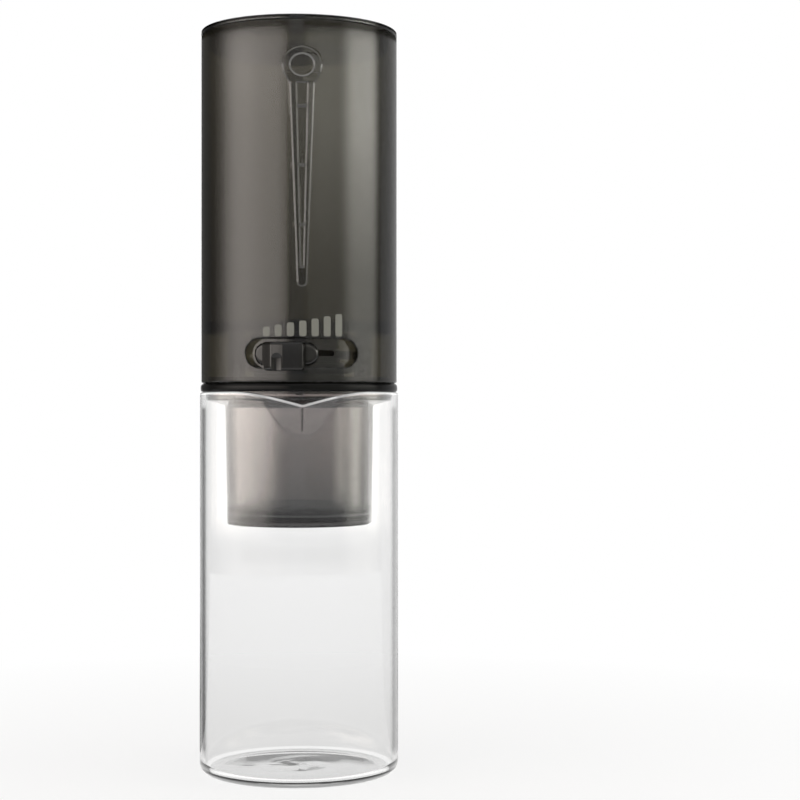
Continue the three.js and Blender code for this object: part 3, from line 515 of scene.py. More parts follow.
def solid(name, colour, roughness, bumps, **more):
    """A finish that light does not pass through, with a mottled colour and gloss."""
    sheet = new_sheet(name)
    patches = sheet.noise(scale=90.0, detail=4.0)
    darker, lighter = (tuple(min(1.0, share * level) for level in colour) + (1.0,) for share in MOTTLE)
    scale, strength, distance, stretch = bumps
    inputs = {
        "Base Color": patches.blend(darker, lighter),
        "Roughness": roughness * 0.8 + sheet.noise(scale=300.0, detail=3.0) * roughness * 0.4,
        "Normal": sheet.bump(sheet.noise(scale, 3.0, sheet.stretched(stretch)), strength, distance),
        **more,
    }
    finished(name, sheet.node("ShaderNodeBsdfPrincipled", None, inputs))


EVEN_SCALE = (1.0, 1.0, 1.0)
dull = {"Specular IOR Level": 0.12}
solid("black_silicone", (0.004, 0.004, 0.004), 0.14, (900.0, 0.05, 0.1 * MM, EVEN_SCALE), **dull)
solid("pale_silicone", (0.6, 0.58, 0.53), 0.4, (700.0, 0.1, 0.1 * MM, EVEN_SCALE))

# %% [markdown]
# The slider is thick smoky plastic over a dark hollow, so no light comes through it, and a dark glossy
# plastic says the same with less work. The regulator's hidden pieces are a finely textured dark plastic.

# %% Dark plastics
deep = {"Specular IOR Level": 0.4}
solid("slider_plastic", (0.006, 0.0055, 0.005), 0.09, (500.0, 0.05, 0.1 * MM, EVEN_SCALE), **deep)
solid("dark_plastic", (0.03, 0.029, 0.027), 0.4, (2400.0, 0.25, 0.05 * MM, EVEN_SCALE))

# %% [markdown]
# The screen, the screws, the clamp and the spring are stainless steel, brushed along the sheet. Filter
# paper is soft, off-white and lightly creped. The seven bars of the scale are a matt grey print.

# %% Steel, paper and print
solid("steel", (0.55, 0.55, 0.56), 0.28, (300.0, 0.12, 0.05 * MM, (1.0, 12.0, 1.0)), Metallic=1.0)
solid("filter_paper", (0.83, 0.81, 0.77), 0.9, (1500.0, 0.6, 0.15 * MM, EVEN_SCALE))
solid("scale_print", (0.165, 0.169, 0.15), 0.5, (1800.0, 0.3, 0.03 * MM, EVEN_SCALE))
print("finishes:", sorted(finishes))

# %% [markdown]
# ## Making round shells
# A turned piece is one outline spun round the axis. Real mouldings and fire-polished glass have no sharp
# corners, so the outline is given with a radius at each corner, and a helper rounds it with a true arc.

# %% Rounded outlines
ARC_STEPS, MOST_OF_SIDE = 5, 0.49


def rounded(corners):
    """Points of an outline given as (radius, height, corner radius); the ends are kept as they are."""
    points = []
    for index, (radius, height, round_off) in enumerate(corners):
        here = Vector((radius, height))
        if not round_off:
            points.append(here)
            continue
        before = Vector(corners[index - 1][:2]) - here
        after = Vector(corners[(index + 1) % len(corners)][:2]) - here
        half = before.angle(after) / 2
        reach = min(round_off / math.tan(half), MOST_OF_SIDE * before.length, MOST_OF_SIDE * after.length)
        start = here + before.normalized() * reach
        end = here + after.normalized() * reach
        centre = here + (before.normalized() + after.normalized()).normalized() * (reach / math.cos(half))
        spoke, last = start - centre, end - centre
        sweep = spoke.angle_signed(last)
        for step in range(ARC_STEPS + 1):
            angle = -sweep * step / ARC_STEPS
            cos, sin = math.cos(angle), math.sin(angle)
            points.append(centre + Vector((spoke.x * cos - spoke.y * sin, spoke.x * sin + spoke.y * cos)))
    return points


def even_angles(sides=144):
    """Angles once round, the first at the front."""
    return [2 * math.pi * side / sides for side in range(sides)]


def turned_mesh(outline, angles=None, closed=True):
    """An outline spun from the front (-Y) round by the right; the ends of an open one lie on the axis."""
    angles = angles or even_angles()
    count = len(angles)
    points = [
        (point.x * math.sin(angle), -point.x * math.cos(angle), point.y)
        for point in outline
        for angle in angles
    ]
    faces = []
    rings = len(outline) if closed else len(outline) - 1
    for ring in range(rings):
        low, high = ring * count, ((ring + 1) % len(outline)) * count
        for side in range(count):
            following = (side + 1) % count
            faces.append((low + side, low + following, high + following, high + side))
    return points, faces


SHARP_ANGLE, DOUBLED = math.radians(38), 0.002 * MM


def piece(name, points, faces, finish, body, slot, even=True):
    """A named, closed piece with smooth shading that rides on a body of the frame."""
    made = linked(name, mesh_of(name, points, faces))
    tidy(made.data)
    made.data.materials.append(finishes[finish])
    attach(made, body)
    if even:
        keep_normals_even(made)
    return made


def tidy(mesh):
    """Joins doubled corners, turns every face outwards and marks sharp edges."""
    shape = bmesh.new()
    shape.from_mesh(mesh)
    bmesh.ops.remove_doubles(shape, verts=shape.verts, dist=DOUBLED)
    bmesh.ops.recalc_face_normals(shape, faces=shape.faces)
    for face in shape.faces:
        face.smooth = True
    for side in shape.edges:
        side.smooth = not (side.is_manifold and side.calc_face_angle() > SHARP_ANGLE)
    shape.to_mesh(mesh)
    shape.free()


def store(made, name, level_at):
    """Keeps a number at every corner of a piece, for its finish to read."""
    numbers = made.data.attributes.new(name, "FLOAT", "POINT")
    numbers.data.foreach_set("value", [float(level_at(*corner.co)) for corner in made.data.vertices])


def keep_normals_even(made):
    """Lets large faces keep their own direction, so that rounded edges don't bend their reflections."""
    even = made.modifiers.new("even_normals", "WEIGHTED_NORMAL")
    even.keep_sharp = True
    even.weight = 100


print("an arc takes", ARC_STEPS, "steps")

# %% [markdown]
# ## Carafe
# The carafe is blown borosilicate glass with a thick round foot, a fire-polished rim and a lip drawn out
# by hand. The rim dips over 84 degrees, gently at first, and the wall bulges in a smaller lens below it.
# The lip is strongest in the middle, where a short crease runs down the wall. It is made by turning the
# plain shape first and then pulling its corners outwards and down by one strength that is worked out for
# each of them. The floor's inner face keeps the faint swirl of the pontil.

# %% Carafe
GLASS_WALL, GLASS_FLOOR = 2.0 * MM, 1.9 * MM
LIP_HALF_ANGLE, LENS_HALF_ANGLE = math.radians(42), math.radians(24)
LIP_REACH, LIP_DIP, LIP_HEIGHT, LEAST_HEIGHT = 4.85 * MM, 5.0 * MM, 17.5 * MM, 3.0 * MM
LIP_CREASE, LIP_CURVE = math.radians(0.25), 1.8
PUSH_UP, FOOT_ROUND = 0.5 * MM, 4.0 * MM
SWIRL_HEIGHT, SWIRL_REACH, SWIRL_ARMS = 0.22 * MM, 0.86, 2.2
SWIRL_TURN, SWIRL_DRIFT = 3.1 * MM, 9 * MM


def lip_strength(angle, height):
    """How strongly the lip pulls at a place on the wall, from 0 to 1."""
    across = (math.hypot(angle, LIP_CREASE) - LIP_CREASE) / LIP_HALF_ANGLE
    if across >= 1:
        return 0.0
    reach_down = max(LEAST_HEIGHT, LIP_HEIGHT * (1 - (angle / LENS_HALF_ANGLE) ** 2))
    up = max(0.0, 1 - (rim_height - height) / reach_down)
    return (1 - across) ** LIP_CURVE * up


def swirl(x, y):
    """Height of the inner floor's ripples, which are highest in the middle."""
    radius, angle = math.hypot(x, y), math.atan2(y, x)
    fade = max(0.0, 1 - radius / (SWIRL_REACH * glass_radius))
    arms = math.sin(SWIRL_ARMS * angle + radius / SWIRL_TURN) * math.cos(angle - radius / SWIRL_DRIFT)
    return SWIRL_HEIGHT * fade * arms


WALL_STEPS = 32
bore = glass_radius - GLASS_WALL
floor_rings = np.linspace(0.0, bore - 6 * MM, 16)
wall_levels = [rim_height - LIP_HEIGHT * (1.05 - step / WALL_STEPS) for step in range(WALL_STEPS)]
lower = rounded(
    [
        (0.0, PUSH_UP, 0),
        (0.3 * glass_radius, PUSH_UP, 2 * MM),
        (glass_radius - 2.2 * FOOT_ROUND, 0.0, 1.5 * MM),
        (glass_radius, 0.0, FOOT_ROUND),
        (glass_radius, wall_levels[0], 0),
    ]
)
rim = rounded(
    [
        (glass_radius, wall_levels[-1], 0),
        (glass_radius, rim_height, 0.85 * MM),
        (bore, rim_height, 0.85 * MM),
        (bore, wall_levels[-1], 0),
    ]
)
upper = rounded(
    [
        (bore, wall_levels[0], 0),
        (bore, GLASS_FLOOR + PUSH_UP, 3.4 * MM),
        (floor_rings[-1], GLASS_FLOOR + PUSH_UP, 0),
    ]
)
outline = lower + [Vector((glass_radius, height)) for height in wall_levels[1:-1]] + rim
outline += [Vector((bore, height)) for height in reversed(wall_levels[1:-1])] + upper
outline += [Vector((radius, GLASS_FLOOR + PUSH_UP)) for radius in reversed(floor_rings[:-1])]
lip_degrees = [*range(-43, -25), *np.arange(-25, 25.1, 0.4), *range(26, 44)]
lip_angles = list(np.radians(lip_degrees))
other_angles = list(np.linspace(lip_angles[-1], 2 * math.pi + lip_angles[0], 100)[1:-1])
points, faces = turned_mesh(outline, lip_angles + other_angles, closed=False)
shaped = []
for x, y, height in points:
    radius = math.hypot(x, y)
    strength = lip_strength(math.atan2(x, -y), height)
    pull = (radius + LIP_REACH * strength) / radius if radius else 1.0
    lift = swirl(x, y) if GLASS_FLOOR < height < 2 * GLASS_FLOOR and radius < bore - 5 * MM else 0.0
    shaped.append((x * pull, y * pull, height - LIP_DIP * strength + lift))
carafe = piece("carafe_glass", shaped, faces, "clear_glass", "carafe", "clear_glass")
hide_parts("carafe")

RIM_DEPTH, CREASE_HALF, LENS_HALF = 1.2 * MM, 0.35 * MM, 0.45 * MM
CREASE_DEPTH, LENS_DEPTH, LENS_REACH, LENS_SHADE = 0.8, 0.95, 0.95, 0.4
# Painted highlight round the foot's corner: its strength, its top and its reach
FOOT_GLOW, FOOT_GLOW_TOP, FOOT_GLOW_REACH = 0.35, 2.6 * MM, 3.0 * MM


def before_lip(angle, height):
    """The height that a corner had before the lip was drawn out."""
    straight = height
    for _ in range(6):
        straight = height + LIP_DIP * lip_strength(angle, straight)
    return straight


def rim_highlight_level(x, y, height):
    """Painted highlight: 1 on top of the rim, falling to 0 below it, and one level round the foot's
    corner.
    """
    if height < FOOT_GLOW_TOP and math.hypot(x, y) > glass_radius - FOOT_GLOW_REACH:
        return FOOT_GLOW
    drop = rim_height - before_lip(math.atan2(x, -y), height)
    return min(1.0, max(0.0, 1 - drop / RIM_DEPTH))


def crease_shade(x, y, height):
    """Painted shade along the crease down the middle of the lip, and along the faint outline of its lens.
    """
    angle = math.atan2(x, -y)
    drop = rim_height - before_lip(angle, height)
    if not RIM_DEPTH < drop < LIP_HEIGHT:
        return 0.0
    across = min(1.0, abs(angle) / LENS_HALF_ANGLE)
    from_crease = abs(angle) * glass_radius / CREASE_HALF
    from_lens = abs(drop - (1 - across**2) * LENS_DEPTH * LIP_HEIGHT) / LENS_HALF
    line = max(0.0, 1 - from_crease) if drop < CREASE_DEPTH * LIP_HEIGHT else 0.0
    lens = LENS_SHADE * max(0.0, 1 - from_lens) if across < LENS_REACH else 0.0
    return max(line, lens)


def on_outside(x, y, height):
    """1 on the outer wall, 0 on the inner one."""
    return math.hypot(x, y) > (glass_radius + bore) / 2


store(carafe, "rim", rim_highlight_level)
store(carafe, "crease", crease_shade)
store(carafe, "outer", on_outside)
print("carafe:", len(carafe.data.polygons), "faces")

# %% [markdown]
# ## Seal
# One silicone ring has a groove for the cup's flange on the inside and a soft rounded face outside. Its
# upper lip seals to the tank and its lower lip to the glass.

# %% Seal ring
flange_radius = cup_high.x
SEAL_LIP, SEAL_GAP, SEAL_COVER, FLANGE_REACH = 0.8 * MM, 0.3 * MM, 1.7 * MM, 0.6 * MM
collar_radius = flange_radius - FLANGE_REACH
outline = rounded(
    [
        (collar_radius + SEAL_GAP, seal_low.z, 0.15 * MM),
        (seal_high.x, seal_low.z, 1.4 * MM),
        (seal_high.x, seal_high.z, 1.4 * MM),
        (flange_radius - SEAL_COVER, seal_high.z, 0.15 * MM),
        (flange_radius - SEAL_COVER, seal_high.z - SEAL_LIP, 0.15 * MM),
        (flange_radius + SEAL_GAP, seal_high.z - SEAL_LIP, 0.1 * MM),
        (flange_radius + SEAL_GAP, seal_low.z + SEAL_LIP, 0.1 * MM),
        (collar_radius + SEAL_GAP, seal_low.z + SEAL_LIP, 0.15 * MM),
    ]
)
seal = piece("seal_bead", *turned_mesh(outline), "black_silicone", "cup", "black_silicone")
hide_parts("seal_ring")
print("seal:", len(seal.data.polygons), "faces")

# %% [markdown]
# ## Cup
# The cup hangs by its flange. Its collar just fits the glass, a shoulder steps in, and a slightly tapered
# body holds the coffee. Its foot is an open ring with an inner ledge for the filter. The thick foot looks
# darker, and a painted shade makes it darker still, with two painted highlight lines round it. The two
# attributes that the shader reads say so here too.

# %% Coffee cup
CUP_WALL, CUP_FLOOR, FLANGE_THICKNESS = 1.6 * MM, 2.2 * MM, 1.2 * MM
CUP_TOP_RADIUS, CUP_TAPER = 29.1 * MM, 0.8 * MM
LEDGE_DROP, LEDGE_WIDTH, FILTER_LEDGE = 4.0 * MM, 3.5 * MM, 3.2 * MM
SHOULDER_DROP, COLLAR_DROP = 5.3 * MM, 3.2 * MM
cup_foot = cup_low.z
foot_radius = CUP_TOP_RADIUS - CUP_TAPER
cup_bore_top, cup_bore_foot = CUP_TOP_RADIUS - CUP_WALL, foot_radius - CUP_WALL
cup_floor_top = cup_foot + CUP_FLOOR
flange_top = cup_high.z
flange_bottom = flange_top - FLANGE_THICKNESS
ledge, shoulder = rim_height - LEDGE_DROP, rim_height - SHOULDER_DROP
# Rise above the foot in millimetres, and how deep the painted shade on the cup is there
FOOT_SHADES = [(0.0, 1.0), (1.0, 1.0), (1.5, 0.6), (2.0, 1.0), (3.7, 1.0), (4.3, 0.5), (5.0, 1.0)]
FOOT_SHADES += [(6.5, 0.8), (8.0, 0.3), (10.0, 0.0)]
# Rise above the foot in millimetres, and the strength of the painted highlight lines there
FOOT_HIGHLIGHTS = [(1.0, 0.0), (1.5, 0.3), (2.0, 0.0), (3.7, 0.0), (4.3, 0.4), (5.0, 0.0)]


def tapered(rise):
    """The cup's outer radius at a height above its foot."""
    return foot_radius + CUP_TAPER * rise / (shoulder - cup_foot)


outline = rounded(
    [
        (cup_bore_foot - FILTER_LEDGE, cup_foot, 0.3 * MM),
        (foot_radius, cup_foot, 0.9 * MM),
        *[(tapered(rise * MM), cup_foot + rise * MM, 0) for rise, _ in FOOT_SHADES[2:]],
        (CUP_TOP_RADIUS, shoulder, 1.1 * MM),
        (collar_radius, rim_height - COLLAR_DROP, 0.9 * MM),
        (collar_radius, flange_bottom, 0.2 * MM),
        (flange_radius, flange_bottom, 0.2 * MM),
        (flange_radius, flange_top, 0.3 * MM),
        (collar_radius - CUP_WALL, flange_top, 0.3 * MM),
        (collar_radius - CUP_WALL, ledge + 2.0 * MM, 0.4 * MM),
        (cup_bore_top + LEDGE_WIDTH, ledge, 0.3 * MM),
        (cup_bore_top, ledge, 0.4 * MM),
        (cup_bore_foot, cup_floor_top, 0.5 * MM),
        (cup_bore_foot - FILTER_LEDGE, cup_floor_top, 0.3 * MM),
    ]
)
cup = piece("cup_shell", *turned_mesh(outline), "smoke_cup", "cup", "smoke_cup")
store(cup, "raised", lambda x, y, height: np.interp((height - cup_foot) / MM, *zip(*FOOT_SHADES)))
store(cup, "bevel", lambda x, y, height: np.interp((height - cup_foot) / MM, *zip(*FOOT_HIGHLIGHTS)))
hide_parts("coffee_cup")
print("cup foot at", round(cup_foot, 5))

# %% [markdown]
# Holes, pockets and bosses are cut or joined with a tool, a second closed form that is used up. A tool
# runs a little past the faces that it works on. The modifiers of the piece wait until the cut is done, and
# the cut faces take the piece's own finish.

# %% Cutting and joining
OVERRUN = 1.0 * MM


def tool_of(points, faces):
    """A closed form that another piece is cut or joined with."""
    tool = linked("tool", mesh_of("tool", points, faces))
    tidy(tool.data)
    return tool


def column_faces(count, rings=2, first=0):
    """The walls between rings of corners that lie over each other, and the two end faces."""
    faces = []
    for low in range(first, first + (rings - 1) * count, count):
        for side in range(count):
            following = (side + 1) % count
            faces.append((low + side, low + following, low + count + following, low + count + side))
    last = first + (rings - 1) * count
    return faces + [tuple(reversed(range(first, first + count))), tuple(range(last, last + count))]


def shape(made, tool, operation):
    """Cuts, joins or trims a piece with a tool for good, and clears the tool away."""
    step = made.modifiers.new(operation, "BOOLEAN")
    step.operation, step.solver, step.object = operation, "MANIFOLD", tool
    held = [(other, other.show_viewport) for other in made.modifiers if other != step]
    for other, _ in held:
        other.show_viewport = False
    bpy.context.view_layer.update()
    result = bpy.data.meshes.new_from_object(made.evaluated_get(bpy.context.evaluated_depsgraph_get()))
    made.modifiers.remove(step)
    for other, shown in held:
        other.show_viewport = shown
    old, made.data = made.data, result
    result.materials.clear()
    for finish in old.materials:
        result.materials.append(finish)
    result.polygons.foreach_set("material_index", [0] * len(result.polygons))
    result.name = old.name
    bpy.data.meshes.remove(old)
    bpy.data.objects.remove(tool)
    tidy(made.data)


print("a piece can be cut, joined or trimmed")

# %% [markdown]
# ## Filter
# The filter lies in the cup's foot: a steel screen, a round of paper and a silicone gasket that presses
# the paper down. They are turned too.

# %% Filter
screen_low, screen_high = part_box("filter_screen")
paper_low, paper_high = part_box("filter_paper")
gasket_low, gasket_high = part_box("filter_gasket")
plate_low, plate_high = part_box("dispersion_plate")


FLAT_SHARE = 0.95


def disc_outline(radius, bottom, top, round_off, rings=1):
    """Half the section of a flat disc, from the axis below to the axis above."""
    steps = np.linspace(0, radius * FLAT_SHARE, rings + 1)
    outline = [Vector((step, bottom)) for step in steps[:-1]]
    edge = [(steps[-1], bottom, 0), (radius, bottom, round_off)]
    outline += rounded(edge + [(radius, top, round_off), (steps[-1], top, 0)])
    return outline + [Vector((step, top)) for step in reversed(steps[:-1])]


def drilled(made, places, radius, low, high, sides=14):
    """Cuts a round hole through a flat piece at each place."""
    points, faces = [], []
    for x, y in places:
        faces += column_faces(sides, first=len(points))
        for height in (low - OVERRUN, high + OVERRUN):
            for turn in even_angles(sides):
                points.append((x + radius * math.cos(turn), y + radius * math.sin(turn), height))
    shape(made, tool_of(points, faces), "DIFFERENCE")


def ring_places(rings, spacing, per_ring=6):
    """Places on rings, with six more holes on each ring than on the one inside it."""
    return [
        (ring * spacing * math.sin(turn), -ring * spacing * math.cos(turn))
        for ring in range(1, rings + 1)
        for turn in even_angles(ring * per_ring)
    ]


outline = disc_outline(screen_high.x, screen_low.z, screen_high.z, round_off=0.1 * MM, rings=6)
screen = piece("screen", *turned_mesh(outline, closed=False), "steel", "cup", "steel")
screen_holes = ring_places(rings=9, spacing=2.7 * MM)
drilled(screen, screen_holes, 0.95 * MM, screen_low.z, screen_high.z, sides=6)
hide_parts("filter_screen")

outline = disc_outline(paper_high.x, paper_low.z, paper_high.z, round_off=0.05 * MM, rings=10)
paper = piece("paper_round", *turned_mesh(outline, closed=False), "filter_paper", "cup", "filter_paper")
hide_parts("filter_paper")

GASKET_WIDTH, GASKET_WAIST, GASKET_BAND, GASKET_STEP = 1.9 * MM, 0.4 * MM, 1.2 * MM, 1.7 * MM
gasket_bore = gasket_high.x - GASKET_WIDTH
gasket_waist = gasket_high.x - GASKET_WAIST
outline = rounded(
    [
        (gasket_bore, gasket_low.z, 0.4 * MM),
        (gasket_high.x, gasket_low.z, 0.4 * MM),
        (gasket_high.x, gasket_low.z + GASKET_BAND, 0.3 * MM),
        (gasket_waist, gasket_low.z + GASKET_STEP, 0.3 * MM),
        (gasket_waist, gasket_high.z - GASKET_STEP, 0.3 * MM),
        (gasket_high.x, gasket_high.z - GASKET_BAND, 0.3 * MM),
        (gasket_high.x, gasket_high.z, 0.4 * MM),
        (gasket_bore, gasket_high.z, 0.4 * MM),
    ]
)
gasket = piece("gasket_ring", *turned_mesh(outline), "black_silicone", "cup", "black_silicone")
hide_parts("filter_gasket")
print("screen holes:", len(screen_holes))

# %% [markdown]
# A dished plate lies on the cup's ledge and spreads the drips over the coffee. It is moulded from the
# same plastic as the cup, with three rings of holes, and lifts out by its rim.

# %% Dispersion plate
PLATE_THICKNESS = 1.2 * MM
dish_radius = cup_bore_top - 0.5 * MM
plate_radius, plate_foot, plate_seat = plate_high.x, plate_low.z, plate_high.z - PLATE_THICKNESS
outline = rounded(
    [
        (0.0, plate_foot, 0),
        (dish_radius - PLATE_THICKNESS, plate_foot, 0.8 * MM),
        (dish_radius, plate_seat, 0.5 * MM),
        (plate_radius, plate_seat, 0.3 * MM),
        (plate_radius, plate_high.z, 0.3 * MM),
        (dish_radius - PLATE_THICKNESS, plate_high.z, 0.6 * MM),
        (dish_radius - 2 * PLATE_THICKNESS, plate_foot + PLATE_THICKNESS, 0.6 * MM),
        (0.0, plate_foot + PLATE_THICKNESS, 0),
    ]
)
plate = piece("spreader_plate", *turned_mesh(outline, closed=False), "smoke_cup", "cup", "smoke_cup")
plate_holes = [(0.0, 0.0)] + ring_places(rings=3, spacing=7.2 * MM)
drilled(plate, plate_holes, 0.8 * MM, plate_foot, plate_foot + PLATE_THICKNESS)
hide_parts("dispersion_plate")
print("spreader holes:", len(plate_holes))

# %% [markdown]
# ## Tank
# The tank is the maker's most worked moulding. Its wall tapers inside so that it leaves the mould, its
# floor falls to a nipple in the middle, and under the floor a skirt hides the regulator. The front
# carries a raised outline: a ring over a slender tapering stem with three cross marks. Each corner of the
# wall is lifted by a height worked out from its distance to the outline. For a clean edge the corners
# follow the outline: on every level some of them stand on its edges, and extra levels lie where an edge
# runs level.

# %% Raised outline on the tank
RELIEF_RISE, RELIEF_EDGE = 0.4 * MM, 0.75 * MM
RING_HEIGHT, RING_RADIUS, RING_BORE, RING_SQUASH = 118.9 * MM, 7.3 * MM, 4.6 * MM, 0.92
FLARE_FOOT, FLARE_TOP, FLARE_HALF = 112.0 * MM, 116.2 * MM, 7.0 * MM
STEM_FOOT, STEM_FOOT_HALF, STEM_TOP_HALF = 37.6 * MM, 1.65 * MM, 4.45 * MM
SLOT_FOOT, SLOT_TOP = 43.0 * MM, 112.3 * MM
SLOT_FOOT_HALF, SLOT_TOP_HALF = 0.6 * MM, 2.2 * MM
MARK_HEIGHTS, MARK_HALF = (103.5 * MM, 81.3 * MM, 59.0 * MM), 0.35 * MM
BEVEL_PLACES, BEVEL_SHARES = [-0.5, -0.4, 0.4, 0.5], [0.0, 0.05, 0.95, 1.0]


def widening(height, foot, top, foot_half, top_half):
    """Half the width of a stem that widens evenly from its foot to its top."""
    return foot_half + (top_half - foot_half) * (height - foot) / (top - foot)


def body_half(height):
    """Half the width of the stem below the ring, with the flare that leads into the ring."""
    if height > FLARE_FOOT:
        return widening(height, FLARE_FOOT, FLARE_TOP, STEM_TOP_HALF, FLARE_HALF)
    return widening(height, STEM_FOOT, FLARE_FOOT, STEM_FOOT_HALF, STEM_TOP_HALF)


def slot_half(height):
    """Half the width of the opening in the stem."""
    return widening(height, SLOT_FOOT, SLOT_TOP, SLOT_FOOT_HALF, SLOT_TOP_HALF)


def inside_disc(x, height, centre, radius, squash=1.0):
    """How far a point lies inside a disc; below 0 it is outside."""
    return radius - math.hypot(x, (height - centre) / squash)


def relief(x, height):
    """How far the wall stands out at a place on the tank's front, with bevelled edges."""
    body = max(
        inside_disc(x, height, RING_HEIGHT, RING_RADIUS, RING_SQUASH),
        inside_disc(x, height, STEM_FOOT, STEM_FOOT_HALF),
        min(body_half(height) - abs(x), height - STEM_FOOT, FLARE_TOP - height),
    )
    opening = max(
        inside_disc(x, height, RING_HEIGHT, RING_BORE, RING_SQUASH),
        min(slot_half(height) - abs(x), height - SLOT_FOOT, SLOT_TOP - height),
    )
    mark = max(MARK_HALF - abs(height - place) for place in MARK_HEIGHTS)
    depth = min(body, max(-opening, min(mark, opening + RELIEF_EDGE)))
    return RELIEF_RISE * float(np.interp(depth / RELIEF_EDGE, BEVEL_PLACES, BEVEL_SHARES))


EDGE_LINES = [RELIEF_EDGE * place for place in BEVEL_PLACES]
LEAST_COLUMN, RELIEF_SIDE, SIDE_COLUMNS = 0.06 * MM, 9.0 * MM, 5
BASE_LEVEL, LEAST_LEVEL = 0.5 * MM, 0.07 * MM


def disc_half(height, centre, radius, squash=1.0):
    """Half the chord of a disc at a height, 0 above and below it."""
    return math.sqrt(max(0.0, radius**2 - ((height - centre) / squash) ** 2))


def relief_columns(height):
    """Places across the front, from left to right, that follow the outline's edges at a height."""
    places = []
    for line in EDGE_LINES:
        in_slot = SLOT_FOOT - line <= height <= SLOT_TOP + line
        slot = slot_half(height) + line if in_slot else 0.0
        places.append(max(slot, disc_half(height, RING_HEIGHT, RING_BORE + line, RING_SQUASH)))
    for line in EDGE_LINES:
        in_stem = STEM_FOOT <= height <= FLARE_TOP
        ring = disc_half(height, RING_HEIGHT, RING_RADIUS + line, RING_SQUASH)
        foot = disc_half(height, STEM_FOOT, STEM_FOOT_HALF + line) if height < STEM_FOOT else 0.0
        places.append(max(body_half(height) + line if in_stem else 0.0, ring, foot))
    right = []
    for place in places:
        right.append(max(place, right[-1] + LEAST_COLUMN if right else LEAST_COLUMN))
    right += [float(place) for place in np.linspace(right[-1], RELIEF_SIDE, SIDE_COLUMNS + 1)[1:]]
    return [-place for place in reversed(right)] + [0.0] + right


def relief_levels():
    """Heights for the wall's rings of corners: close where an edge runs level, even elsewhere."""
    beside_mark = [side * (MARK_HALF + line) for side in (-1, 1) for line in EDGE_LINES]
    fine = [place + beside for place in MARK_HEIGHTS for beside in beside_mark]
    fine += [SLOT_TOP + line for line in EDGE_LINES] + [SLOT_FOOT - line for line in EDGE_LINES]
    for radius in (RING_BORE, RING_RADIUS):
        for line in EDGE_LINES:
            fine += [RING_HEIGHT + side * RING_SQUASH * (radius + line) for side in (-1, 1)]
        turns = np.radians(np.arange(12, 180, 12))
        fine += [RING_HEIGHT + RING_SQUASH * radius * math.cos(turn) for turn in turns]
    fine += [STEM_FOOT - STEM_FOOT_HALF - line for line in EDGE_LINES] + [STEM_FOOT, FLARE_FOOT, FLARE_TOP]
    levels = []
    for level in sorted(fine):
        if not levels or level - levels[-1] > LEAST_LEVEL:
            levels.append(level)
    even = np.arange(levels[0] - MM, levels[-1] + 1.5 * MM, BASE_LEVEL)
    fill = [float(level) for level in even if min(abs(level - other) for other in levels) > BASE_LEVEL / 2]
    return sorted(levels + fill)


print("levels across the outline:", len(relief_levels()))

# %% [markdown]
# The slider runs in a long pocket with round ends. Both the pocket and the slider are the same kind of
# form: a row of rounded outlines on cylinders of different radius, joined like the ribs of a boat. With a
# flared last rib the pocket gets the small round edge that shows as a bright line.

# %% Rounded slots on a cylinder
END_STEPS, LENGTH_STEPS, HEIGHT_STEPS, FLARE_STEPS = 9, 24, 6, 4
SLIDER_LIFT = 0.4 * MM
slider_height = sum(corner.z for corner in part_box("cam_ring")) / 2 + SLIDER_LIFT


def slot_columns(length, height):
    """(x, half height) of upright columns across a shape with two round ends."""
    end = height / 2
    straight = length / 2 - end
    right = [
        (straight + end * math.sin(angle), end * math.cos(angle))
        for angle in np.linspace(0, math.pi / 2, END_STEPS + 1)[1:]
    ]
    middle = [(x, end) for x in np.linspace(-straight, straight, LENGTH_STEPS + 1)]
    return [(-x, half) for x, half in reversed(right)] + middle + right


def ribbed(ribs, centre, turn=0.0):
    """A closed form through ribs of (cylinder radius, length, height), the innermost first."""
    points, faces, grids = [], [], []
    for radius, length, height in ribs:
        grid = []
        for x, half in slot_columns(length, height):
            column = []
            for step in range(HEIGHT_STEPS + 1):
                level = half * (2 * step / HEIGHT_STEPS - 1)
                angle = math.asin(x / radius) + turn
                column.append(len(points))
                points.append((radius * math.sin(angle), -radius * math.cos(angle), centre + level))
            grid.append(column)
        grids.append(grid)
    for grid in (grids[0], grids[-1]):
        for left, right in zip(grid, grid[1:]):
            for step in range(HEIGHT_STEPS):
                faces.append((left[step], right[step], right[step + 1], left[step + 1]))
    for inner, outer in zip(grids, grids[1:]):
        for column in range(len(inner) - 1):
            for step in (0, HEIGHT_STEPS):
                one, two = inner[column][step], inner[column + 1][step]
                faces.append((one, two, outer[column + 1][step], outer[column][step]))
    return points, faces


def flared(radius, length, height, round_off, outwards):
    """Ribs whose edge rounds outwards, as round a pocket, or inwards, as round a button."""
    ribs = []
    for step in range(FLARE_STEPS + 1):
        angle = math.pi / 2 * step / FLARE_STEPS
        depth = round_off * (1 - math.sin(angle))
        spread = round_off * (1 - math.cos(angle)) * (1 if outwards else -1)
        ribs.append((radius - depth, length + 2 * spread, height + 2 * spread))
    return ribs


print("slider at height", round(slider_height, 5))

# %% [markdown]
# The tank is turned from one outline with the relief lifted on its front. Then the liner behind the
# pocket is joined on, and the pocket and the slider's slot are cut. Last come the three bosses for the
# cover's screws and the small block that holds the cam ring down.

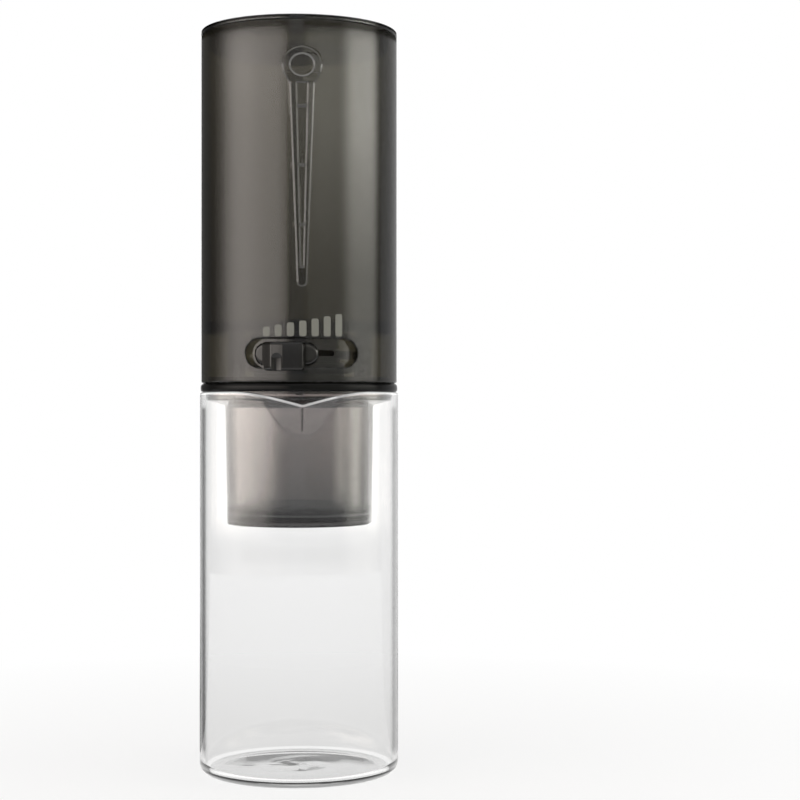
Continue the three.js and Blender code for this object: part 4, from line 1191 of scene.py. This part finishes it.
# %% Tank shell
TANK_WALL, TANK_DRAFT = 2.0 * MM, 0.8 * MM
SKIRT, TANK_FLOOR, FLOOR_FALL = 19.7 * MM, 2.2 * MM, 0.6 * MM
OUTLET_BORE, NIPPLE_RADIUS, NIPPLE_LENGTH = 1.3 * MM, 2.1 * MM, 3.5 * MM
RETAINER_INNER, RETAINER_OUTER, RETAINER_FOOT = 14.0 * MM, 15.5 * MM, 13.4 * MM
POCKET_LENGTH, POCKET_HEIGHT, POCKET_DEPTH, POCKET_WALL = 41.8 * MM, 10.8 * MM, 3.0 * MM, 2.4 * MM
POCKET_ROUND = 0.7 * MM
SLOT_HEIGHT, SLOT_HALF_ANGLE = 2.2 * MM, math.radians(20.4)
BOSS_RADIUS, BOSS_FOOT, BOSS_TOP = 3.0 * MM, 2.5 * MM, 20.8 * MM
BOSS_HOLE, BOSS_HOLE_TOP = 1.5 * MM, 7.3 * MM
HOLD_HALF, HOLD_FRONT, HOLD_BACK, HOLD_FOOT = 1.0 * MM, 6.2 * MM, 9.5 * MM, 12.6 * MM
STEM_GLINT, COARSE_COLUMNS, ON_WALL = 0.4, 130, 0.01 * MM
screw_places = [sum(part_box(f"cover_screw_{number}"), Vector()) / 2 for number in (1, 2, 3)]


def over_screw(points, centre):
    """Points given from the foot of the tank's axis, moved to the axis of a screw."""
    return [(x + centre.x, y + centre.y, height + tank_foot) for x, y, height in points]


def block_between(sides, depths, rises):
    """A plain box between two places each way; the rises are given from the tank's foot."""
    points = [(x, y, tank_foot + rise) for x in sides for y in depths for rise in rises]
    return points, [(0, 1, 3, 2), (4, 6, 7, 5), (0, 4, 5, 1), (2, 3, 7, 6), (0, 2, 6, 4), (1, 5, 7, 3)]


tank_bore = tank_radius - TANK_WALL
rows = relief_levels()
lower = rounded(
    [
        (OUTLET_BORE, SKIRT - NIPPLE_LENGTH, 0.2 * MM),
        (NIPPLE_RADIUS, SKIRT - NIPPLE_LENGTH, 0.3 * MM),
        (NIPPLE_RADIUS, SKIRT, 0.4 * MM),
        (RETAINER_INNER, SKIRT, 0.3 * MM),
        (RETAINER_INNER, RETAINER_FOOT, 0.3 * MM),
        (RETAINER_OUTER, RETAINER_FOOT, 0.3 * MM),
        (RETAINER_OUTER, SKIRT, 0.3 * MM),
        (tank_bore, SKIRT, 0.8 * MM),
        (tank_bore, 0.0, 0.3 * MM),
        (tank_radius, 0.0, 0.7 * MM),
        (tank_radius, SKIRT, 0),
    ]
)
height_of_tank = tank_top - tank_foot
upper = rounded(
    [
        (tank_radius, height_of_tank - 3 * MM, 0),
        (tank_radius, height_of_tank, 0.55 * MM),
        (tank_bore, height_of_tank, 0.5 * MM),
        (tank_bore - TANK_DRAFT, SKIRT + TANK_FLOOR, 2.2 * MM),
        (OUTLET_BORE, SKIRT + TANK_FLOOR - FLOOR_FALL, 0.5 * MM),
    ]
)
skirt_levels = [Vector((tank_radius, level)) for level in np.linspace(SKIRT, STEM_FOOT - 4 * MM, 4)[1:]]
outline = lower + skirt_levels + [Vector((tank_radius, row)) for row in rows] + upper
front_angle = RELIEF_SIDE / tank_radius
coarse_angles = list(np.linspace(front_angle, 2 * math.pi - front_angle, COARSE_COLUMNS)[1:-1])
column_count = len(relief_columns(0.0)) + len(coarse_angles)
_, faces = turned_mesh(outline, even_angles(column_count))
wall_points = []
for radius, height in outline:
    on_front = abs(radius - tank_radius) < ON_WALL and rows[0] <= height <= rows[-1]
    front_angles = [place / tank_radius for place in relief_columns(height if on_front else 0.0)]
    for column, angle in enumerate(front_angles + coarse_angles):
        lifted = on_front and column < len(front_angles)
        reach = radius + (relief(angle * tank_radius, height) if lifted else 0.0)
        wall_points.append((reach * math.sin(angle), -reach * math.cos(angle), height + tank_foot))
tank = piece("tank_shell", wall_points, faces, "smoke_tank", "tank", "smoke_tank")

slot_radius = tank_radius - POCKET_DEPTH - POCKET_WALL
pocket_radius = tank_radius - POCKET_DEPTH
liner_size = (POCKET_LENGTH + 2 * POCKET_WALL, POCKET_HEIGHT + 2 * POCKET_WALL)
ribs = [(slot_radius, *liner_size), (tank_bore + OVERRUN, *liner_size)]
shape(tank, tool_of(*ribbed(ribs, slider_height)), "UNION")
ribs = [(pocket_radius, POCKET_LENGTH, POCKET_HEIGHT)]
ribs += flared(tank_radius, POCKET_LENGTH, POCKET_HEIGHT, POCKET_ROUND, True)
ribs.append((tank_radius + OVERRUN, *ribs[-1][1:]))
shape(tank, tool_of(*ribbed(ribs, slider_height)), "DIFFERENCE")
slot_length = 2 * pocket_radius * math.sin(SLOT_HALF_ANGLE)
slot_radii = (slot_radius - OVERRUN, pocket_radius + OVERRUN)
ribs = [(radius, slot_length, SLOT_HEIGHT) for radius in slot_radii]
shape(tank, tool_of(*ribbed(ribs, slider_height)), "DIFFERENCE")

boss = rounded(
    [
        (0.0, BOSS_HOLE_TOP, 0),
        (BOSS_HOLE, BOSS_HOLE_TOP, 0),
        (BOSS_HOLE, BOSS_FOOT, 0),
        (BOSS_RADIUS, BOSS_FOOT, 0),
        (BOSS_RADIUS, BOSS_TOP, 0),
        (0.0, BOSS_TOP, 0),
    ]
)
for centre in screw_places:
    points, faces = turned_mesh(boss, even_angles(40), closed=False)
    shape(tank, tool_of(over_screw(points, centre), faces), "UNION")
hold = block_between((-HOLD_HALF, HOLD_HALF), (HOLD_FRONT, HOLD_BACK), (HOLD_FOOT, BOSS_TOP))
shape(tank, tool_of(*hold), "UNION")


def raised_share(x, y, height):
    """How far the wall stands out, as a share of the relief's full rise."""
    return min(1.0, max(0.0, (math.hypot(x, y) - tank_radius) / RELIEF_RISE))


def bevel_glint_level(x, y, height):
    """How strongly a bevelled edge of the relief gets a painted glint: most round the ring's bore."""
    if y >= 0 or not 0.03 < raised_share(x, y, height) < 0.97:
        return 0.0
    from_bore = math.hypot(x, (height - tank_foot - RING_HEIGHT) / RING_SQUASH) - RING_BORE
    return 1.0 if abs(from_bore) < RELIEF_EDGE else STEM_GLINT


store(tank, "raised", raised_share)
store(tank, "bevel", bevel_glint_level)
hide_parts("water_tank")
print("tank:", len(tank.data.polygons), "faces")

# %% [markdown]
# ## Slider
# The slider is a pill that runs in the pocket, with a thumb grip over it. Seen from above, the grip has a
# steep left flank, a flat crest and a broad back that falls away a little. Its outline is a smooth curve
# through a few points, stacked upwards and drawn in at both ends so that the edges are round. A
# round-nosed scoop for the fingertip is cut into the crest from below. Below the pocket the grip may only
# pass in front of the tank, so it is made of two stacks, one trimmed to the pill and one kept outside the
# wall.

# %% Slider's grip
REST_ANGLE = math.radians(-9.6)
PILL_LENGTH, PILL_HEIGHT, PILL_THICKNESS, PILL_ROUND = 24.4 * MM, 8.9 * MM, 1.4 * MM, 1.1 * MM
PILL_DROP = 0.35 * MM
GRIP_RISE, GRIP_ABOVE, GRIP_BELOW, GRIP_ROUND = 4.1 * MM, 4.1 * MM, 6.7 * MM, 1.2 * MM
SCOOP_RADIUS, SCOOP_DEPTH, SCOOP_TOP = 3.0 * MM, 0.8 * MM, 0.9 * MM
SCOOP_PLACE = -0.117
RUNNING_GAP = 0.3 * MM
# Along the pill as a share of its length, and outwards as a share of the grip's rise
GRIP_SHARES = [(-0.36, 0.0), (-0.32, 0.25), (-0.28, 0.51), (-0.24, 0.77), (-0.205, 0.97)]
GRIP_SHARES += [(-0.17, 1.0), (-0.1, 1.03), (-0.04, 1.04), (0.0, 1.03)]
GRIP_SHARES += [(0.12, 0.93), (0.255, 0.79), (0.29, 0.68), (0.315, 0.0)]
CURVE_STEPS = 6


def smooth_through(points):
    """A curve through the points that runs at each of them as its two neighbours lie."""
    curve = []
    for index, (start, end) in enumerate(zip(points, points[1:])):
        before, after = points[max(index - 1, 0)], points[min(index + 2, len(points) - 1)]
        bend = 2 * before - 5 * start + 4 * end - after
        twist = 3 * start - before - 3 * end + after
        for share in np.arange(CURVE_STEPS) / CURVE_STEPS:
            ahead = start + (end - before) * (share / 2)
            curve.append(ahead + bend * (share**2 / 2) + twist * (share**3 / 2))
    return curve + [points[-1]]


def turned_to(angle, x, y, height):
    """A place turned about the maker's axis."""
    cos, sin = math.cos(angle), math.sin(angle)
    return (x * cos - y * sin, x * sin + y * cos, height)


def rounded_levels(foot, top, round_off):
    """(height, draw-in) from the foot of a stack to its top."""
    turns = [math.pi / 2 * step / ARC_STEPS for step in range(ARC_STEPS + 1)]
    arc = [(round_off * (1 - math.cos(turn)), round_off * (1 - math.sin(turn))) for turn in turns]
    below = [(foot + rise, inset) for rise, inset in arc]
    return below + [(top - rise, inset) for rise, inset in reversed(arc)]


def stacked(curve, root, levels, turn):
    """A closed form from copies of a curve, each drawn in by its level's amount, and closed at a root."""
    points = []
    middle, half = (curve[0].x + curve[-1].x) / 2, (curve[-1].x - curve[0].x) / 2
    rise = max(point.y for point in curve) - root
    for height, draw_in in levels:
        narrower, flatter = 1 - draw_in / half, 1 - draw_in / rise
        for point in curve:
            x = middle + (point.x - middle) * narrower
            points.append(turned_to(turn, x, -root - (point.y - root) * flatter, height))
        points += [turned_to(turn, middle + side * half * narrower, -root, height) for side in (1, -1)]
    return points, column_faces(len(curve) + 2, len(levels))


pill_root = pocket_radius + RUNNING_GAP
pill_face = pill_root + PILL_THICKNESS
shares = [Vector((along * PILL_LENGTH, pill_face + out * GRIP_RISE)) for along, out in GRIP_SHARES]
grip_curve = smooth_through(shares)
grip_levels = rounded_levels(slider_height - GRIP_BELOW, slider_height + GRIP_ABOVE, GRIP_ROUND)
print("grip curve of", len(grip_curve), "points on", len(grip_levels), "levels")

# %% [markdown]
# The pill, its two trimmed grips and the socket for the cam ring's tab are joined to one piece.

# %% Slider knob
TAB_WIDTH, TAB_HEIGHT, TAB_REACH, TAB_ROOT = 6.1 * MM, 1.5 * MM, 2.1 * MM, 2 * MM
KEEP_BELOW, KEEP_ABOVE, PAST_GRIP = 9 * MM, 40 * MM, 9 * MM


def grip():
    """The whole grip, before it is trimmed."""
    return tool_of(*stacked(grip_curve, pill_root, grip_levels, REST_ANGLE))


pill_middle = slider_height - PILL_DROP
ribs = [(pill_root, PILL_LENGTH, PILL_HEIGHT)]
ribs += flared(pill_face, PILL_LENGTH, PILL_HEIGHT, PILL_ROUND, False)
pill_form = ribbed(ribs, pill_middle, REST_ANGLE)
knob = piece("slider_pill", *pill_form, "slider_plastic", "slider", "smoke_tank", even=False)

over_pill = grip()
pill_column = [(radius, PILL_LENGTH, PILL_HEIGHT) for radius in (tank_bore, tank_radius + PAST_GRIP)]
shape(over_pill, tool_of(*ribbed(pill_column, pill_middle, REST_ANGLE)), "INTERSECT")
shape(knob, over_pill, "UNION")

over_wall = grip()
keep_out = disc_outline(tank_radius + RUNNING_GAP, tank_foot - KEEP_BELOW, tank_foot + KEEP_ABOVE, 0)
shape(over_wall, tool_of(*turned_mesh(keep_out, closed=False)), "DIFFERENCE")
shape(knob, over_wall, "UNION")

scoop_arc = [math.pi / 2 * step / END_STEPS for step in range(END_STEPS + 1)]
scoop = [Vector((0.0, slider_height - GRIP_BELOW - SCOOP_RADIUS))]
scoop.append(Vector((SCOOP_RADIUS, scoop[0].y)))
scoop_centre = slider_height + SCOOP_TOP - SCOOP_RADIUS
for angle in scoop_arc:
    scoop.append(Vector((SCOOP_RADIUS * math.cos(angle), scoop_centre + SCOOP_RADIUS * math.sin(angle))))
points, faces = turned_mesh(scoop, even_angles(36), closed=False)
scoop_reach = pill_face + GRIP_RISE - SCOOP_DEPTH + SCOOP_RADIUS
scoop_side = SCOOP_PLACE * PILL_LENGTH
points = [turned_to(REST_ANGLE, x + scoop_side, y - scoop_reach, height) for x, y, height in points]
shape(knob, tool_of(points, faces), "DIFFERENCE")

half_width = TAB_WIDTH / 2 + RUNNING_GAP
socket = [Vector((side * half_width, pocket_radius + TAB_REACH + RUNNING_GAP)) for side in (-1, 1)]
socket_half = TAB_HEIGHT / 2 + RUNNING_GAP
socket_levels = [(slider_height - socket_half, 0.0), (slider_height + socket_half, 0.0)]
shape(knob, tool_of(*stacked(socket, tank_bore - TAB_ROOT, socket_levels, REST_ANGLE)), "DIFFERENCE")
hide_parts("slider_knob")

# %% [markdown]
# ## Lid
# The lid is a flat moulding with a plug that fits in the tank. A small hole in the plug lets air in as
# the water drips out. In the photograph it shows as one bright dot.

# %% Lid
LID_THICKNESS, PLUG_WALL, PLUG_GAP = 2.0 * MM, 1.6 * MM, 0.4 * MM
VENT_RADIUS, VENT_ANGLE = 0.8 * MM, math.radians(13)
lid_seat = lid_high.z - LID_THICKNESS
plug_radius = tank_bore - PLUG_GAP
outline = rounded(
    [
        (0.0, lid_seat, 0),
        (plug_radius - PLUG_WALL, lid_seat, 0.6 * MM),
        (plug_radius - PLUG_WALL, lid_low.z, 0.4 * MM),
        (plug_radius, lid_low.z, 0.5 * MM),
        (plug_radius, lid_seat, 0.3 * MM),
        (tank_radius, lid_seat, 0.5 * MM),
        (tank_radius, lid_high.z, 0.6 * MM),
        (0.0, lid_high.z, 0),
    ]
)
lid = piece("lid_shell", *turned_mesh(outline, closed=False), "smoke_tank", "lid", "smoke_tank")


def drill_outwards(made, angle, height, radius, start, end, sides=20):
    """Cuts a round hole along a line from the axis through a wall."""
    points = [
        turned_to(angle, radius * math.cos(turn), -reach, height + radius * math.sin(turn))
        for reach in (start, end)
        for turn in even_angles(sides)
    ]
    shape(made, tool_of(points, column_faces(sides)), "DIFFERENCE")


plug_middle = (lid_low.z + lid_seat) / 2
drill_outwards(lid, VENT_ANGLE, plug_middle, VENT_RADIUS, plug_radius - 3 * MM, plug_radius + OVERRUN)
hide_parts("tank_lid")
print("lid from", round(lid_low.z, 5), "to", round(lid_high.z, 5))

# %% [markdown]
# ## Print
# Seven bars that grow to the right stand over the slider, one for each drip rate. They are silk-screened
# on the tank, so each is a patch of paint a few hundredths of a millimetre thick that follows the wall,
# with rounded corners.

# %% Seven printed bars
BAR_PITCH, BAR_WIDTH, BAR_ROUND, PAINT = math.radians(6.9), 2.75 * MM, 0.8 * MM, 0.04 * MM
BAR_FOOT, BAR_MIDDLE = 17.2 * MM, math.radians(0.4)
BAR_HEIGHTS = [3.7 * MM, 4.4 * MM, 5.2 * MM, 5.9 * MM, 6.7 * MM, 7.6 * MM, 8.5 * MM]
BAR_COLUMNS = 8


def bar_patch(centre, height):
    """Upright strips across a rounded bar, as points and faces of a thin curved slab."""
    points, faces = [], []
    half = BAR_WIDTH / 2
    for column in range(BAR_COLUMNS + 1):
        x = -half * math.cos(math.pi * column / BAR_COLUMNS)
        in_corner = max(0.0, abs(x) - (half - BAR_ROUND))
        cut = BAR_ROUND - math.sqrt(max(0.0, BAR_ROUND**2 - in_corner**2))
        angle = centre + x / tank_radius
        for radius in (tank_radius - PAINT / 2, tank_radius + PAINT):
            for level in (cut, height - cut):
                points.append(turned_to(angle, 0.0, -radius, tank_foot + BAR_FOOT + level))
    for column in range(BAR_COLUMNS):
        left, right = 4 * column, 4 * (column + 1)
        faces += [(left, right, right + 1, left + 1), (left + 2, left + 3, right + 3, right + 2)]
        faces += [(left, left + 2, right + 2, right), (left + 1, right + 1, right + 3, left + 3)]
    last = 4 * BAR_COLUMNS
    faces += [(0, 1, 3, 2), (last, last + 2, last + 3, last + 1)]
    return points, faces


points, faces = [], []
for index, height in enumerate(BAR_HEIGHTS):
    centre = BAR_MIDDLE + (index - (len(BAR_HEIGHTS) - 1) / 2) * BAR_PITCH
    bar_points, bar_faces = bar_patch(centre, height)
    faces += [tuple(corner + len(points) for corner in face) for face in bar_faces]
    points += bar_points
bars = piece("scale_bars", points, faces, "scale_print", "tank", "scale_print", even=False)
print("bars:", len(BAR_HEIGHTS), "with", len(bars.data.polygons), "faces")

# %% [markdown]
# ## Regulator
# Under the tank's floor hides what the slider works. The silicone drip tube is turned as a plain pipe and
# then pressed flat where the plunger pinches it: its corners move in along the plunger's way and out to
# both sides, most in the middle. The nozzle under it is turned too.

# %% Drip tube and nozzle
TUBE_BORE, TUBE_RADIUS, TUBE_ROUND = 2.4 * MM, 3.6 * MM, 0.2 * MM
TUBE_FOOT, TUBE_TOP = 0.5 * MM, 19.4 * MM
PRESS_FOOT, PRESS_TOP, PRESS_RAMP = 8.8 * MM, 12.6 * MM, 4.1 * MM
PRESS_IN, PRESS_OUT = 2.25 * MM, 1.6 * MM
tube_levels = list(np.linspace(TUBE_FOOT, TUBE_TOP, 44)[1:-1])
outline = rounded(
    [(TUBE_BORE, TUBE_FOOT, TUBE_ROUND), (TUBE_RADIUS, TUBE_FOOT, TUBE_ROUND)]
    + [(TUBE_RADIUS, level, 0) for level in tube_levels]
    + [(TUBE_RADIUS, TUBE_TOP, TUBE_ROUND), (TUBE_BORE, TUBE_TOP, TUBE_ROUND)]
    + [(TUBE_BORE, level, 0) for level in reversed(tube_levels)]
)
points, faces = turned_mesh(outline, even_angles(48))
pressed = []
for x, y, height in points:
    away = max(PRESS_FOOT - height, height - PRESS_TOP, 0.0)
    press = (1 + math.cos(math.pi * min(away / PRESS_RAMP, 1.0))) / 2
    radius = math.hypot(x, y)
    wider, flatter = (radius + PRESS_OUT * press) / radius, (radius - PRESS_IN * press) / radius
    pressed.append((x * wider, y * flatter, height + tank_foot))
tube = piece("pinched_tube", pressed, faces, "pale_silicone", "tank", "clear_silicone", even=False)
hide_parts("drip_tube")

# Radius, and height from the tank's foot, in millimetres
NOZZLE_CORNERS = [(0.7, -4.6), (1.4, -4.6), (3.0, -1.1), (5.2, -1.1)]
NOZZLE_CORNERS += [(5.2, -0.1), (2.1, -0.1), (2.1, 3.8), (0.7, 3.8)]
NOZZLE_ROUND = 0.15 * MM
outline = rounded([(radius * MM, rise * MM + tank_foot, NOZZLE_ROUND) for radius, rise in NOZZLE_CORNERS])
nozzle = piece("nozzle", *turned_mesh(outline, even_angles(64)), "dark_plastic", "tank", "dark_plastic")
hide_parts("drip_nozzle")
print("tube:", len(tube.data.polygons), "faces, nozzle:", len(nozzle.data.polygons), "faces")

# %% [markdown]
# Three pan-head screws hold the cover up. Each is turned with the ridges of its thread, and a cross for
# the screwdriver is cut into the underside of its head.

# %% Cover screws
HEAD_FOOT, HEAD_TOP, SHANK_TOP, TIP = -1.5 * MM, -0.1 * MM, 5.8 * MM, 7.0 * MM
HEAD_RADIUS, HEAD_FACE, HEAD_RISE = 2.4 * MM, 1.2 * MM, 0.7 * MM
SHANK_RADIUS, THREAD_ROOT, THREAD_PITCH = 1.2 * MM, 0.95 * MM, 0.6 * MM
CROSS_LONG, CROSS_WIDE, CROSS_DEPTH = 1.1 * MM, 0.26 * MM, 0.7 * MM
cross_heights = (HEAD_FOOT - OVERRUN, HEAD_FOOT + CROSS_DEPTH)
cross_round = []
quarter = [(CROSS_WIDE, CROSS_LONG), (-CROSS_WIDE, CROSS_LONG), (-CROSS_WIDE, CROSS_WIDE)]
for _ in range(4):
    cross_round += quarter
    quarter = [(-y, x) for x, y in quarter]
thread = []
level = HEAD_TOP + THREAD_PITCH
while level < SHANK_TOP - THREAD_PITCH:
    thread += [(SHANK_RADIUS, level, 0), (THREAD_ROOT, level + THREAD_PITCH / 2, 0)]
    level += THREAD_PITCH
head = [(0.0, HEAD_FOOT, 0), (HEAD_FACE, HEAD_FOOT, 0.3 * MM)]
head += [(HEAD_RADIUS, HEAD_FOOT + HEAD_RISE, 0.5 * MM), (HEAD_RADIUS, HEAD_TOP, 0.1 * MM)]
head.append((SHANK_RADIUS, HEAD_TOP, 0.1 * MM))
screw_outline = rounded(head + thread + [(SHANK_RADIUS, SHANK_TOP, 0), (0.0, TIP, 0)])
for number, centre in enumerate(screw_places, 1):
    points, faces = turned_mesh(screw_outline, even_angles(40), closed=False)
    points = over_screw(points, centre)
    screw = piece(f"screw_{number}", points, faces, "steel", "tank", "steel", even=False)
    cross = [(x, y, height) for height in cross_heights for x, y in cross_round]
    shape(screw, tool_of(over_screw(cross, centre), column_faces(len(cross_round))), "DIFFERENCE")
    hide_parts(f"cover_screw_{number}")
print("screws:", len(screw_places), "with", len(thread) // 2, "thread ridges each")

# %% [markdown]
# Five small pieces of the regulator stay as the engineering model has them: the cover, the cam ring, the
# plunger, the leaf spring and the clamp. They only get a finish, and modifiers that join their split
# corners, round their edges a little and shade them smoothly.

# %% Pieces that stay as they are
EDGE_ROUND, WELD_REACH = 0.12 * MM, 0.005 * MM
KEPT_FINISHES = {
    "valve_cover": "dark_plastic",
    "cam_ring": "dark_plastic",
    "pinch_plunger": "dark_plastic",
    "detent_spring": "steel",
    "tube_clamp": "steel",
}
for name, finish in KEPT_FINISHES.items():
    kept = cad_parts[name]
    kept.data.materials.clear()
    kept.data.materials.append(finishes[finish])
    kept.data.polygons.foreach_set("material_index", [0] * len(kept.data.polygons))
    kept.data.shade_smooth()
    weld = kept.modifiers.new("weld", "WELD")
    weld.merge_threshold = WELD_REACH
    edges = kept.modifiers.new("round_edges", "BEVEL")
    edges.width = EDGE_ROUND
    edges.segments = 2
    edges.limit_method = "ANGLE"
    edges.angle_limit = SHARP_ANGLE
    edges.harden_normals = True
    keep_normals_even(kept)
print("kept with a finish:", sorted(KEPT_FINISHES))

# %% [markdown]
# ## Last look
# The picture keeps its colours as they are computed.

# %% Colours as computed
scene.view_settings.view_transform = "Standard"
